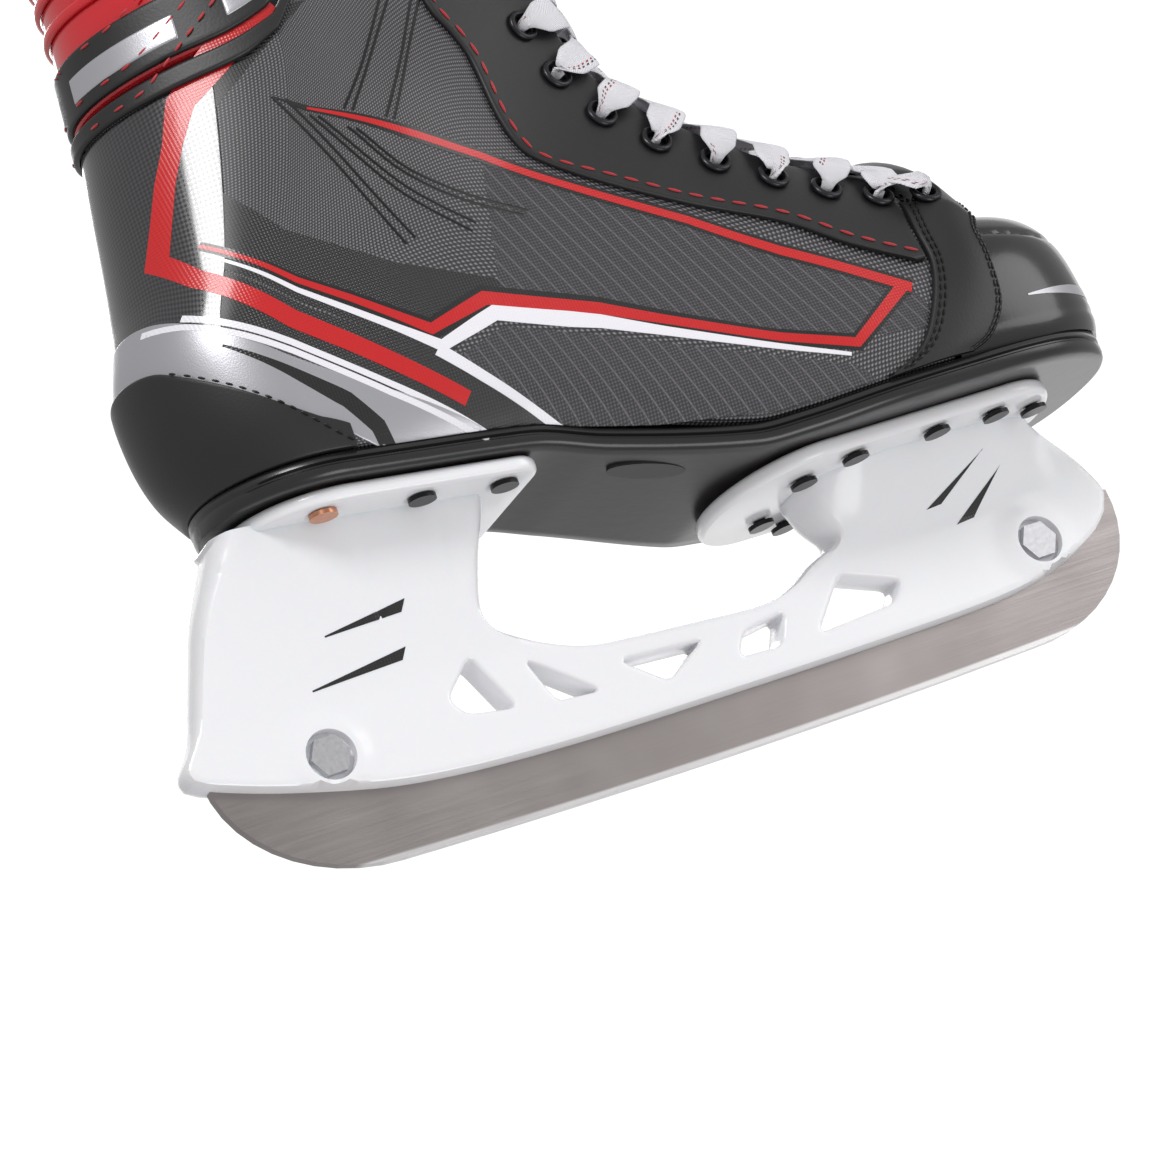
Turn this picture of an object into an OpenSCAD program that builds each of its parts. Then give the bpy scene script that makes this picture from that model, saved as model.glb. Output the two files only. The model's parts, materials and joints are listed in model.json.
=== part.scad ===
// Ice hockey skate for the right foot: a moulded boot with a sprung tendon guard and a
// folding tongue top, riveted to a plastic holder that carries a bolted steel runner.
// +X points to the toe, +Z up, and the runner's lowest point rests on z = 0.

/* [Boot] */
// Length of the boot from the back of the heel to the toe
boot_len = 270; // [220:1:330]
// Width of the boot across the ball of the foot
boot_w = 94; // [78:1:114]
// Height of the collar above the underside of the sole
boot_h = 190; // [158:1:230]
// Thickness of the moulded quarter
quarter_t = 3; // [1.5:0.1:4.5]
// Thickness of the stitched overlays: eyestay, heel patch, toe strip and guard band
overlay_t = 1.5; // [0.8:0.1:2.5]
// Thickness of the soft lining
lining_t = 4; // [2:0.5:6]
// Thickness of the toe cap's wall
toe_wall = 2.5; // [1.5:0.1:4]
// Thickness of the outsole
outsole_t = 6; // [3:0.5:8]
// Thickness of the felt tongue
tongue_t = 8; // [5:0.5:10]
// Height of the folding top of the tongue
flap_h = 52; // [30:1:65]
// Height of the tendon guard above the quarter, at the back
guard_h = 88; // [60:1:106]

/* [Holder and runner] */
// Height of the sole's underside above the ice, at the ball of the foot
stack_h = 66; // [56:1:80]
// Length of the steel runner
runner_len = 280; // [240:1:336]
// Thickness of the steel runner
runner_t = 3; // [2.5:0.1:4]
// Depth of steel that shows below the holder
steel_show = 15; // [12:0.5:18]
// Thickness of the holder's rails and struts
rail_t = 11; // [9:0.5:16]
// Thickness of the holder's flanges
flange_t = 4.5; // [3:0.5:6]
// Half width of the heel flange
heel_flange_w = 27; // [22:0.5:31]
// Half width of the sole flange
sole_flange_w = 32; // [26:0.5:37]

/* [Fasteners] */
// Diameter of the runner bolts' shanks
bolt_d = 5; // [4:0.1:6]
// Width across the flats of the bolt heads and nuts
bolt_af = 9.6; // [8:0.1:11]
// Diameter of the recesses round the bolt heads and nuts
recess_d = 13; // [12:0.5:16]
// Diameter of the sole rivets' shanks
rivet_d = 3.6; // [3:0.1:5]
// Diameter of the sole rivets' heads
rivet_head_d = 7.5; // [6:0.5:9]

/* [Lacing] */
// Outer diameter of an eyelet's flange
eyelet_d = 9.2; // [8:0.1:11]
// Diameter of the hole through an eyelet
eyelet_bore = 4.6; // [4:0.1:5]
// Diameter of the drawn-together lace
lace_d = 2; // [1.5:0.1:2.4]

/* [Hidden] */
gap = 0.3;             // clearance between layers
eyelets = 12;          // pairs of eyelets
kx = boot_len / 270;   // the curves below are drawn for a boot 270 long,
ky = boot_w / 94;      // 94 wide
kz = boot_h / 190;     // and 190 high
kr = runner_len / 280; // and for a runner 280 long
shaft_front = 40;      // front of the shaft above the instep

// ---------- curves ----------
function seg(p, t, i = 0) = (i >= len(p) - 2 || t < p[i + 1][0]) ? i : seg(p, t, i + 1);
function slope(p, i) = let (a = max(i - 1, 0), b = min(i + 1, len(p) - 1))
    (p[b][1] - p[a][1]) / (p[b][0] - p[a][0]);
// a smooth curve through [t, value] knots
function curve(p, t) = let (i = seg(p, t), h = p[i + 1][0] - p[i][0],
    u = min(max((t - p[i][0]) / h, 0), 1), m = slope(p, i) * h, n = slope(p, i + 1) * h)
    (2*u*u*u - 3*u*u + 1) * p[i][1] + (u*u*u - 2*u*u + u) * m
    + (3*u*u - 2*u*u*u) * p[i + 1][1] + (u*u*u - u*u) * n;
function lerp(a, b, t) = a + (b - a) * t;
function smax(a, b, k) = let (h = max(k - abs(a - b), 0) / k) max(a, b) + h * h * k / 4;
function unit(v) = v / norm(v);

// heights h are measured from the underside of the sole at the ball
sole_line = [[-126, 30.9], [-113, 29.5], [-92, 27], [-66, 24], [-40, 20.9], [-30, 19],
    [-15, 13.5], [22, 1.8], [36, 0.4], [50, 0], [120, 0], [150, 0.1]];
back_line = [[20, -108], [29, -112], [36, -116], [46, -121], [59, -123], [74, -122],
    [91, -116], [127, -108], [141, -105], [188, -99], [240, -97]];
back_round = [[20, 30], [64, 32], [134, 46], [190, 42], [240, 40]];
ridge_line = [[-120, 254], [20, 141], [46, 117], [58, 105], [75, 91], [92, 81],
    [103, 77.5], [112, 76], [119, 72], [125, 64], [129, 47]];
half_width = [[-125, 32], [-90, 33], [-50, 37], [-10, 38.5], [30, 42], [60, 46],
    [90, 47], [110, 46], [130, 42]];
arch_depth = [[-120, 115], [0, 115], [40, 105], [60, 90], [98, 68], [128, 55]];
sole_width = [[-126, 30], [-90, 31], [-41, 30], [-15, 30], [22, 36], [60, 44],
    [90, 45.5], [110, 45], [130, 43], [150, 40]];
front_edge = [[0, 82], [10, 84], [20, 89], [34, 93], [49, 94.8], [58, 98], [66, 93],
    [72, 84], [79, 68], [94, 48], [109, 34], [124, 27], [144, 25], [192, 23]];
strip_back = [[6.6, 61], [12, 73], [22, 82], [34, 89], [45, 91.5], [56, 95], [80, 97]];
eyestay_edge = [[36, 86], [46, 70], [58, 55], [71, 31], [82, 13], [93, -2], [98, -6],
    [108, -8], [126, -8], [134, -10], [141, -13], [150, -14], [192, -12]];
band_low = [[-125, 139], [-105, 139], [-93, 140], [-88, 143], [-62, 161], [-40, 175], [-18, 186]];
patch_top = [[-125, 74], [-122, 74], [-114, 70], [-109, 65], [-95, 51.5], [-84, 40], [-78, 35]];
collar_line = [[-125, 144], [-105, 145], [-93, 146], [-80, 153], [-60, 167], [-40, 180],
    [-20, 188], [25, 190], [150, 190]];
eyelet_x = [[0, 103], [3, 61], [6, 23], [8, 13], [11, 10]];
eyelet_h = [[0, 52.5], [3, 71.5], [6, 102.5], [8, 133.5], [11, 179]];

// ---------- boot surface ----------
function sole_h(x) = curve(sole_line, x);
// depth of a point below the boot's top centre line
function depth(x, h) = smax(shaft_front - x, 0.82 * (curve(ridge_line, x) - h), 18);
function fullness(x, h) = let (t = min(max(depth(x, h) / curve(arch_depth, x), 0.002), 1))
    sqrt(1 - (1 - t) * (1 - t));
function bulge(x, h) = 4 * exp(-pow((x + 38) / 26, 2) - pow((h - 118) / 24, 2));
// half width of the boot at a station and a height, with a tuck towards the sole
function half(x, h) = let (w = curve(half_width, x) * fullness(x, h) + bulge(x, h),
    s = curve(sole_width, x) - 0.8)
    w - (w - s) * exp(-max(h - sole_h(x) - outsole_t, 0) / 12);
function back_x(h) = curve(back_line, h);
function to_z(h) = stack_h + kz * h;
// a point on the right side, o outside the moulded quarter
function side_pt(x, h, o) = [kx * x, -(ky * half(x, h) + o), to_z(h)];
// u runs from the heel's centre line (0) round the heel (1) to the front edge xf (2)
function skin_pt(u, h, o, xf) = let (b = back_x(h), r = curve(back_round, h))
    u < 1 ? let (x = b + r * (1 - cos(90 * u)))
        [kx * b - o + (kx * r + o) * (1 - cos(90 * u)),
         -(ky * half(x, h) + o) * sin(90 * u), to_z(h)]
    : side_pt(lerp(b + r, xf, u - 1), h, o);
function guess_x(u, xf) = u < 1 ? -118 + 32 * (1 - cos(90 * u)) : lerp(-86, xf, u - 1);

// ---------- meshes ----------
function quads(n, m, s, flip) = [for (i = [0:n - 2], j = [0:m - 2])
    let (a = s + i * m + j, b = a + m, c = b + 1, d = a + 1)
    each flip ? [[a, c, b], [a, d, c]] : [[a, b, c], [a, c, d]]];
function rim(a, b, s, flip) = flip ? [[a, b, a + s], [b, b + s, a + s]]
    : [[a, a + s, b], [b, a + s, b + s]];
// closed wall between two grids of points, given as columns
module wall(outer, inner) {
    n = len(outer);
    m = len(outer[0]);
    s = n * m;
    polyhedron(points = [for (g = [outer, inner]) each [for (c = g) each c]],
        faces = [each quads(n, m, 0, false), each quads(n, m, s, true),
            for (i = [0:n - 2]) each rim(i * m, i * m + m, s, false),
            for (i = [0:n - 2]) each rim(i * m + m - 1, i * m + 2 * m - 1, s, true),
            for (j = [0:m - 2]) each rim(j, j + 1, s, true),
            for (j = [0:m - 2]) each rim((n - 1) * m + j, (n - 1) * m + j + 1, s, false)]);
}
// height at fraction v between a lower line, or a height above the sole, and an upper line
function row_h(x, v, low, high) = lerp(is_num(low) ? sole_h(x) + low : curve(low, x), curve(high, x), v);
function column(u, m, o, low, high, xf) = [for (j = [0:m]) let (v = j / m,
    h = row_h(guess_x(u, curve(xf, lerp(10, 190, v))), v, low, high)) skin_pt(u, h, o, curve(xf, h))];
// layer on the right side from u0 to u1, between offsets o0 and o1
function side_grid(u0, u1, n, m, o, low, high, xf) =
    [for (i = [0:n]) column(lerp(u0, u1, i / n), m, o, low, high, xf)];
module side_wall(u0, u1, n, m, o0, o1, low, high, xf)
    wall(side_grid(u0, u1, n, m, o1, low, high, xf), side_grid(u0, u1, n, m, o0, low, high, xf));
// layer that runs from one side round the heel to the other
function ring_grid(u1, n, m, o, low, high, xf) = [for (i = [-n:n])
    [for (p = column(abs(i) / n * u1, m, o, low, high, xf)) [p[0], i > 0 ? -p[1] : p[1], p[2]]]];
module ring_wall(u1, n, m, o0, o1, low, high, xf)
    wall(ring_grid(u1, n, m, o0, low, high, xf), ring_grid(u1, n, m, o1, low, high, xf));
module left() mirror([0, 1, 0]) children();
module both() {
    children();
    left() children();
}

// ---------- lacing ----------
function eyelet_pt(k, o) = k == 0 ? strip_pt(0.64, 0.36, o + 0.4)
    : side_pt(curve(eyelet_x, k), curve(eyelet_h, k), o);
function skin_dir(x, h) = let (e = 2,
    gx = (half(x + e, h) - half(x - e, h)) / (2 * e), gz = (half(x, h + e) - half(x, h - e)) / (2 * e))
    unit([-gx * ky / kx, -1, -gz * ky / kz]);
function eyelet_dir(k) = skin_dir(curve(eyelet_x, k), curve(eyelet_h, k));
module along(p, d) translate(p) rotate([0, acos(d[2]), atan2(d[1], d[0])]) children();
module eyelet_holes(first)
    for (k = [first:eyelets - 1])
        along(eyelet_pt(k, 0), eyelet_dir(k))
            cylinder(d = eyelet_bore + 2.2, h = 40, center = true, $fn = 24);

// ---------- toe ----------
toe_x = 98;            // station where the toe cap starts to round in
toe_a = 49;            // its length ahead of that station
toe_h = 14;            // height of its widest line
toe_c = 38;            // rise of its top above that line
np = 2.6;              // squareness in plan
nv = 3.5;              // squareness in section
toe_rear = [[0, 84], [10, 86], [20, 91], [30, 96], [40, 104], [60, 108]];
// p: angle from the centre line, q: angle up from the widest line
function toe_pt(p, q, o) = let (r = pow(max(cos(q), 0), 2 / nv))
    [kx * toe_x + (kx * toe_a + o) * r * pow(max(cos(p), 0), 2 / np),
     -(ky * 44.5 + o) * r * pow(abs(sin(p)), 2 / np) * sign(p),
     q < 0 ? to_z(toe_h + sin(q) * 7.4 / sin(20)) : to_z(toe_h) + (kz * toe_c + o) * pow(sin(q), 2 / nv)];
function toe_rear_pt(q, o, side) = let (p = toe_pt(90 * side, q, o), h = (p[2] - stack_h) / kz)
    [kx * curve(toe_rear, h), p[1], p[2]];
function toe_grid(o) = let (q = [-20, -8, 2, 12, 24, 38, 52, 66, 78, 87])
    [[for (a = q) toe_rear_pt(a, o, 1)],
     for (p = [90:-7.5:-90]) [for (a = q) toe_pt(p, a, o)],
     [for (a = q) toe_rear_pt(a, o, -1)]];
// toe strip: t runs from the right welt (0) to the top (1) and the left welt (2)
strip_rear = [[0, 61, 6.6], [0.12, 73, 12], [0.25, 82, 22], [0.38, 89, 34], [0.5, 91.5, 45],
    [0.62, 95, 56]];
strip_fore = [[0, 88, 6.8], [0.12, 96, 10], [0.25, 103, 18], [0.38, 106, 30], [0.5, 108, 39],
    [0.62, 111, 43]];
function pick(p, c) = [for (k = p) [k[0], k[c]]];
function quarter_top(x, y) = let (l = curve(arch_depth, x), w = curve(half_width, x))
    curve(ridge_line, x) - l * (1 - sqrt(1 - pow(min(abs(y) / w, 0.98), 2))) / 0.82;
function cap_half(x, h) = let (z = max(h - toe_h, 0) / toe_c, f = max(x - toe_x, 0) / toe_a)
    44.5 * pow(max(pow(1 - pow(z, nv), np / nv) - pow(f, np), 0.0001), 1 / np);
function cap_top(x, y) = let (f = pow(pow(max(x - toe_x, 0) / toe_a, np) + pow(abs(y) / 44.5, np), 1 / np))
    toe_h + toe_c * pow(max(1 - pow(f, nv), 0.0001), 1 / nv);
t_side = 0.62;
function strip_rear_pt(t, o) = let (xs = curve(pick(strip_rear, 1), t_side), hs = curve(pick(strip_rear, 2), t_side),
    s = (t - t_side) / (1 - t_side), x = lerp(xs, 97, s), y = half(xs, hs) * (1 - s))
    t <= t_side ? let (x = curve(pick(strip_rear, 1), t), h = curve(pick(strip_rear, 2), t))
        [kx * x, -(ky * half(x, h) + o), to_z(h)]
    : [kx * x, -(ky * y + o * (1 - s)), to_z(lerp(hs, quarter_top(x, y), min(3 * s, 1))) + o * s];
function strip_fore_pt(t, o) = let (xs = curve(pick(strip_fore, 1), t_side), hs = curve(pick(strip_fore, 2), t_side),
    s = (t - t_side) / (1 - t_side), x = lerp(xs, 125, sin(90 * s)), y = cap_half(xs, hs) * (1 - s))
    t <= t_side ? let (x = curve(pick(strip_fore, 1), t), h = curve(pick(strip_fore, 2), t))
        [kx * x, -(ky * cap_half(x, h) + o), to_z(h)]
    : [kx * x, -(ky * y + o * (1 - s)), to_z(cap_top(x, y)) + o * s + 0.6 * s];
function strip_pt(t, b, o) = let (s = max(t - 0.3, 0) / 0.7, r = strip_rear_pt(t, o + gap),
    f = strip_fore_pt(t, o + gap), c = (1 + 13 * s * s) * sin(180 * pow(b, 1.25)))
    lerp(r, f, b) + c * unit([0.1, -(1.15 - t), 0.2 + t]);
function strip_grid(o) = let (n = 18, m = 7)
    [for (i = [0:2 * n]) [for (j = [0:m]) let (t = i / n, p = strip_pt(min(t, 2 - t), 1 - j / m, o))
        [p[0], t > 1 ? -p[1] : p[1], p[2]]]];

// ---------- tongue ----------
tongue_line = [[0, 99, 71], [0.14, 88, 80], [0.3, 72, 90], [0.48, 56, 104], [0.62, 45, 117],
    [0.72, 40, 130], [0.86, 37, 155], [1, 37, 186], [1.3, 41, 186 + flap_h / kz]];
function tongue_c(t) = [kx * curve(pick(tongue_line, 1), t), to_z(curve(pick(tongue_line, 2), t))];
function tongue_n(t) = let (e = 0.02, a = tongue_c(max(t - e, 0)), b = tongue_c(min(t + e, 1.3)), d = unit(b - a))
    [d[1], -d[0]];
function tongue_pt(t, y, o) = let (c = tongue_c(t), n = tongue_n(t),
    x = curve(pick(tongue_line, 1), t), l = curve(arch_depth, x), w = curve(half_width, x),
    e = (abs(y) + 7.5) / (w + 2), k = l * (1 - sqrt(1 - e * e)) - o)
    [c[0] - n[0] * k, ky * y, c[1] - n[1] * k];
function tongue_grid(t0, t1, n, w, o) = [for (i = [0:12]) [for (j = [0:n])
    let (t = lerp(t0, t1, j / n)) tongue_pt(t, lerp(-w, w, i / 12) * (1 - 0.17 * t), o)]];

// ---------- lace ----------
lace_t = [[0, 0.05], [3, 0.3], [6, 0.62], [8, 0.755], [11, 0.93], [12, 0.96]];
function on_side(p, s) = [p[0], s * abs(p[1]), p[2]];
// one half of the lace, from the bar inside the first pair to the end tucked at the top
function through(k, o) = eyelet_pt(k, 0) + o * eyelet_dir(k);
edge_rise = [[0, 5], [3, 9], [6, 7], [8, 3], [11, 1]];
function edge_pt(k, ahead, o) = let (h = curve(eyelet_h, k) + curve(edge_rise, k),
    x = curve(front_edge, h) + ahead) side_pt(x, h, 0) + o * skin_dir(x, h);
over = gap + overlay_t + lace_d / 2 + 0.8;
under = -quarter_t - lace_d / 2 - 0.8;
function strand(s0, lift) = [on_side(through(0, -6), s0),
    for (k = [0:eyelets - 1]) let (s = s0 * (k % 2 == 0 ? 1 : -1), t = curve(lace_t, k + 0.5)) each [
        on_side(through(k, k == 0 ? 8 : 6.8), s), on_side(edge_pt(k, 0, k == 0 ? over + 3 : over), s),
        for (y = [15, 8, 0, -8, -15]) tongue_pt(t, s * y, lift),
        on_side(k < eyelets - 1 ? edge_pt(k + 1, -3, under) : side_pt(14, 183, -6), -s),
        if (k < eyelets - 1) on_side(through(k + 1, -6), -s)],
    on_side(side_pt(6, 176, -5.6), s0 * (eyelets % 2 == 0 ? 1 : -1))];
function reverse(l) = [for (i = [len(l) - 1:-1:0]) l[i]];
lace_route = concat(reverse(strand(-1, 4)), strand(1, 7));
module tube(pts, d, sides) {
    n = len(pts);
    tang = [for (i = [0:n - 1]) unit(pts[min(i + 1, n - 1)] - pts[max(i - 1, 0)])];
    up = [0.83, 0.02, 0.55];
    rings = [for (i = [0:n - 1]) let (a = unit(cross(tang[i], up)), b = cross(tang[i], a))
        for (s = [0:sides - 1]) pts[i] + d / 2 * (cos(360 * s / sides) * a + sin(360 * s / sides) * b)];
    polyhedron(points = rings, faces = [[for (s = [0:sides - 1]) s],
        [for (s = [sides - 1:-1:0]) (n - 1) * sides + s],
        for (i = [0:n - 2], s = [0:sides - 1]) let (a = i * sides + s, b = i * sides + (s + 1) % sides)
            each [[a, a + sides, b], [b, a + sides, b + sides]]]);
}

// ---------- holder and runner ----------
ks = stack_h / 66;     // the holder's side view is drawn for a stack 66 high
bolts = [[-110 * kr, 31.5 * ks], [108 * kr, 28 * ks]];
seat_y = runner_t / 2 + 2;   // the bolt heads and nuts bear on walls this far from the middle
heel_pitch = atan((sole_h(-92) - sole_h(-40)) * kz / (52 * kx));
function at_sole(x) = to_z(sole_h(x / kx));
holder_edge = [[-147, 36], [-142, 33], [-121, 26], [-91, 19], [-51, 15.8], [9, 15], [60, 15.2],
    [91, 16.2], [109, 19], [126, 25], [136, 33]];
function edge_z(x) = curve(holder_edge, x) + steel_show - 15;
// top of the steel: low along the rail, with an ear round each bolt
function steel_top(x) = edge_z(x) + 5 + 12 * (exp(-pow((x + 110) / 18, 2)) + exp(-pow((x - 108) / 18, 2)));
// the corner at b with a radius r
function corner(a, b, c, r) = let (u = unit(a - b), v = unit(c - b), w = acos(u * v) / 2,
    m = b + unit(u + v) * r / sin(w), f = atan2(b[1] - m[1], b[0] - m[0]),
    s = u[0] * v[1] - u[1] * v[0] > 0 ? -1 : 1)
    [for (i = [-2:2]) m + r * [cos(f + s * i * (90 - w) / 2), sin(f + s * i * (90 - w) / 2)]];
function rounded(p, r) = let (n = len(p))
    [for (i = [0:n - 1]) each corner(p[(i + n - 1) % n], p[i], p[(i + 1) % n], r)];
module upright(t) rotate([90, 0, 0]) translate([0, 0, -t / 2]) linear_extrude(t) children();
windows = [[[-64, 45], [-74, 36], [-71, 31], [-57, 28.5]], [[-50, 40], [-46, 27], [-33, 26]],
    [[-25, 32], [0, 30.5], [-14, 23]], [[12, 29], [26, 31], [21, 22.5], [8, 23]],
    [[46, 36], [63, 29.5], [58, 24], [33, 22.5]]];
// outline above the lower edge: front nose, bridge and rear tail
bridge = [[136, 33], [131, 44], [52, 44], [40, 41.5], [32, 37], [22, 34.5], [-14, 37],
    [-32, 38.5], [-46, 44.5], [-57, 52], [-134, 52], [-141, 46], [-147, 37]];
module rails() difference() {
    polygon([for (x = [-147:6:135]) [kr * x, ks * edge_z(x)], for (p = bridge) [kr * p[0], ks * p[1]]]);
    for (w = windows)
        polygon(rounded([for (p = w) [kr * p[0], ks * p[1]]], 1.8));
}
module slot() polygon([for (x = [150, -150]) [kr * x, 0],
    for (x = [-150:6:150]) [kr * x, ks * steel_top(x) + 0.3]]);
// tower from the rails up to stations [x, half width] under a flange; c shrinks it to its core
module tower(low, high, c) hull() {
    mid = (low[0] + low[1]) / 2;
    translate([mid, 0, 43 * ks + c]) cube([low[1] - low[0] - 2 * c, rail_t - c, 1], center = true);
    for (p = high)
        translate([p[0] + (p[0] < mid ? c : -c), 0, at_sole(p[0]) - (c > 0 ? -1 : flange_t)])
            cube([1, 2 * (p[1] - c), 1], center = true);
}
module rear_tower(c) tower([-140 * kr, -60 * kr], [[-110 * kx, heel_flange_w - 16],
    [-98 * kx, heel_flange_w - 12.5], [-42 * kx, heel_flange_w - 12.5]], c);
module fore_tower(c) tower([44 * kr, 130 * kr], [[44 * kx, sole_flange_w - 23],
    [60 * kx, sole_flange_w - 15], [98 * kx, sole_flange_w - 15], [122 * kx, sole_flange_w - 24]], c);
tower_wall = 3.5;
// flange outlines with half width w
function heel_plan(w) = [for (a = [90:10:270]) [kx * -85 + 28 * cos(a), w * sin(a)],
    for (a = [-90:15:0]) [kx * -40 + 7 * cos(a), -w + 7 + 7 * sin(a)],
    for (a = [0:15:90]) [kx * -40 + 7 * cos(a), w - 7 + 7 * sin(a)]];
function sole_plan(w) = [for (a = [90:10:270]) [kx * 44 + 24 * cos(a), (w - 1) * sin(a)],
    for (a = [-90:10:90]) [kx * 104 + 22 * cos(a), w * sin(a)]];
module heel_flange() translate([kx * -66, 0, at_sole(kx * -66) - flange_t - 0.6])
    rotate([0, heel_pitch, 0]) translate([kx * 66, 0, 0]) linear_extrude(flange_t) polygon(heel_plan(heel_flange_w));
module sole_flange() translate([0, 0, stack_h - flange_t - 0.1])
    linear_extrude(flange_t) polygon(sole_plan(sole_flange_w));
// rivet stations: distance along the sole and half spacing
heel_rivets = [[-92, 20], [-65, 20], [-42, 20]];
sole_rivets = [[42, 14.5], [54, 24], [80, 25], [100, 24], [116, 18]];
copper_places = [heel_rivets[0]];
steel_places = [heel_rivets[1], heel_rivets[2], each sole_rivets];
module at_rivets(list) for (r = list, s = [-1, 1])
    translate([r[0] * kx, s * r[1] * ky, r[0] < 0 ? at_sole(r[0] * kx) : stack_h])
        rotate([0, r[0] < 0 ? heel_pitch : 0, 0]) children();
module at_bolts() for (b = bolts) translate([b[0], 0, b[1]]) rotate([90, 0, 0]) children();

module runner() color("#8f878a") difference() {
    upright(runner_t) polygon([
        for (x = [-97:8:95]) [kr * x, (x - 8) * (x - 8) / 6000],
        for (a = [-84:8:4]) [kr * (98 + 40 * cos(a)), 34.4 + 33 * sin(a)],
        for (x = [134:-6:-140]) [kr * x, ks * steel_top(x)],
        for (a = [180:8:268]) [kr * (-98 + 44 * cos(a)), 35.6 + 33.7 * sin(a)]]);
    at_bolts() cylinder(d = bolt_d + 0.3, h = 60, center = true, $fn = 40);
}
module blade_holder() color("#f4f5f5") difference() {
    union() {
        upright(rail_t) rails();
        rear_tower(0);
        fore_tower(0);
        heel_flange();
        sole_flange();
    }
    upright(runner_t + 0.2) slot();
    rear_tower(tower_wall);
    fore_tower(tower_wall);
    at_bolts() cylinder(d = bolt_d + 0.3, h = 60, center = true, $fn = 40);
    at_bolts() for (s = [0, 180]) rotate([s, 0, 0]) translate([0, 0, seat_y])
        cylinder(d = recess_d, h = 30, $fn = 48);
    at_rivets(concat(copper_places, steel_places)) cylinder(d = rivet_d + 0.1, h = 30, center = true, $fn = 24);
}
// the -Y side carries the bolt heads, the +Y side the nuts
nut_h = 2.4;
module runner_bolts() color("silver") at_bolts() {
    translate([0, 0, seat_y]) cylinder(d = bolt_af / cos(30), h = nut_h, $fn = 6);
    translate([0, 0, -seat_y - nut_h - 0.6]) cylinder(d = bolt_d, h = 2 * seat_y + nut_h + 0.6, $fn = 40);
}
module runner_nuts() color("silver") at_bolts() translate([0, 0, -seat_y - nut_h]) difference() {
    cylinder(d = bolt_af / cos(30), h = nut_h, $fn = 6);
    translate([0, 0, -1]) cylinder(d = bolt_d, h = nut_h + 2, $fn = 40);
}
board_t = 2;
washer_t = 0.6;
board_base = outsole_t + gap;
rivet_end = board_base + board_t + washer_t + 0.6;
module rivets(list) at_rivets(list) {
    translate([0, 0, -flange_t - 2.1]) cylinder(d = rivet_head_d, h = 1.2, $fn = 32);
    translate([0, 0, -flange_t - 1.2]) cylinder(d = rivet_d, h = flange_t + rivet_end + 1.2, $fn = 24);
}
module steel_rivets() color("#222224") rivets(steel_places);
module copper_rivets() color("#b5714d") rivets(copper_places);
module rivet_washers() color("silver") at_rivets(concat(copper_places, steel_places))
    translate([0, 0, board_base + board_t + 0.9]) difference() {
        cylinder(d = rivet_head_d, h = washer_t, $fn = 32);
        translate([0, 0, -1]) cylinder(d = rivet_d, h = washer_t + 2, $fn = 24);
    }

// ---------- sole ----------
heel_end = -117;
toe_end = 145;
function plan_half(x) = let (r = min(max((x - heel_end) / 31, 0.004), 1),
    f = min(max((x - 98) / (toe_end - 98), 0), 0.999))
    curve(sole_width, x) * sqrt(1 - (1 - r) * (1 - r)) * pow(1 - pow(f, np), 1 / np);
stations = [for (a = [0:15:75]) heel_end + 31 * (1 - cos(a)), for (x = [-86:9:94]) x,
    for (a = [0:9:81]) 98 + (toe_end - 98) * sin(a), toe_end - 0.1];
function sole_grid(low, inset) = [for (x = stations) let (w = max(ky * plan_half(x) - inset, 0.4),
    s = x < -60 ? 1 : x > 98 ? -1 : 0, e = min(inset, 31) * s * (s > 0 ? (1 - min((x - heel_end) / 57, 1))
        : min((x - 98) / 47, 1)))
    [for (j = [-3:3]) [kx * x + e, w * j / 3, to_z(sole_h(x)) + low]]];
module sole_layer(low, thick, inset) wall(sole_grid(low + thick, inset), sole_grid(low, inset));
module rivet_holes() at_rivets(concat(copper_places, steel_places))
    cylinder(d = rivet_d + 0.1, h = 60, center = true, $fn = 24);
vent_x = -2;
module vent_shape(grow, low, h) translate([kx * vent_x, -18 * ky, at_sole(kx * vent_x)])
    rotate([0, 16.5, 0]) translate([0, 0, low]) linear_extrude(h)
        polygon([for (a = [0:15:345]) [(11 + grow) * cos(a), (5 + grow) * sin(a)]]);
module outsole() color("#141416") difference() {
    sole_layer(0, outsole_t, 0);
    rivet_holes();
    vent_shape(0.1, -10, 12.5);
}
module sole_vent() color("#2c2c30") vent_shape(0, -0.4, 2.4);
module insole_board() color("#c9b48c") difference() {
    sole_layer(board_base, board_t, quarter_t + lining_t + 3.6);
    rivet_holes();
}
module footbed() color("#3a3a40") sole_layer(rivet_end + 0.9, 4, quarter_t + lining_t + 5);

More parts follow.
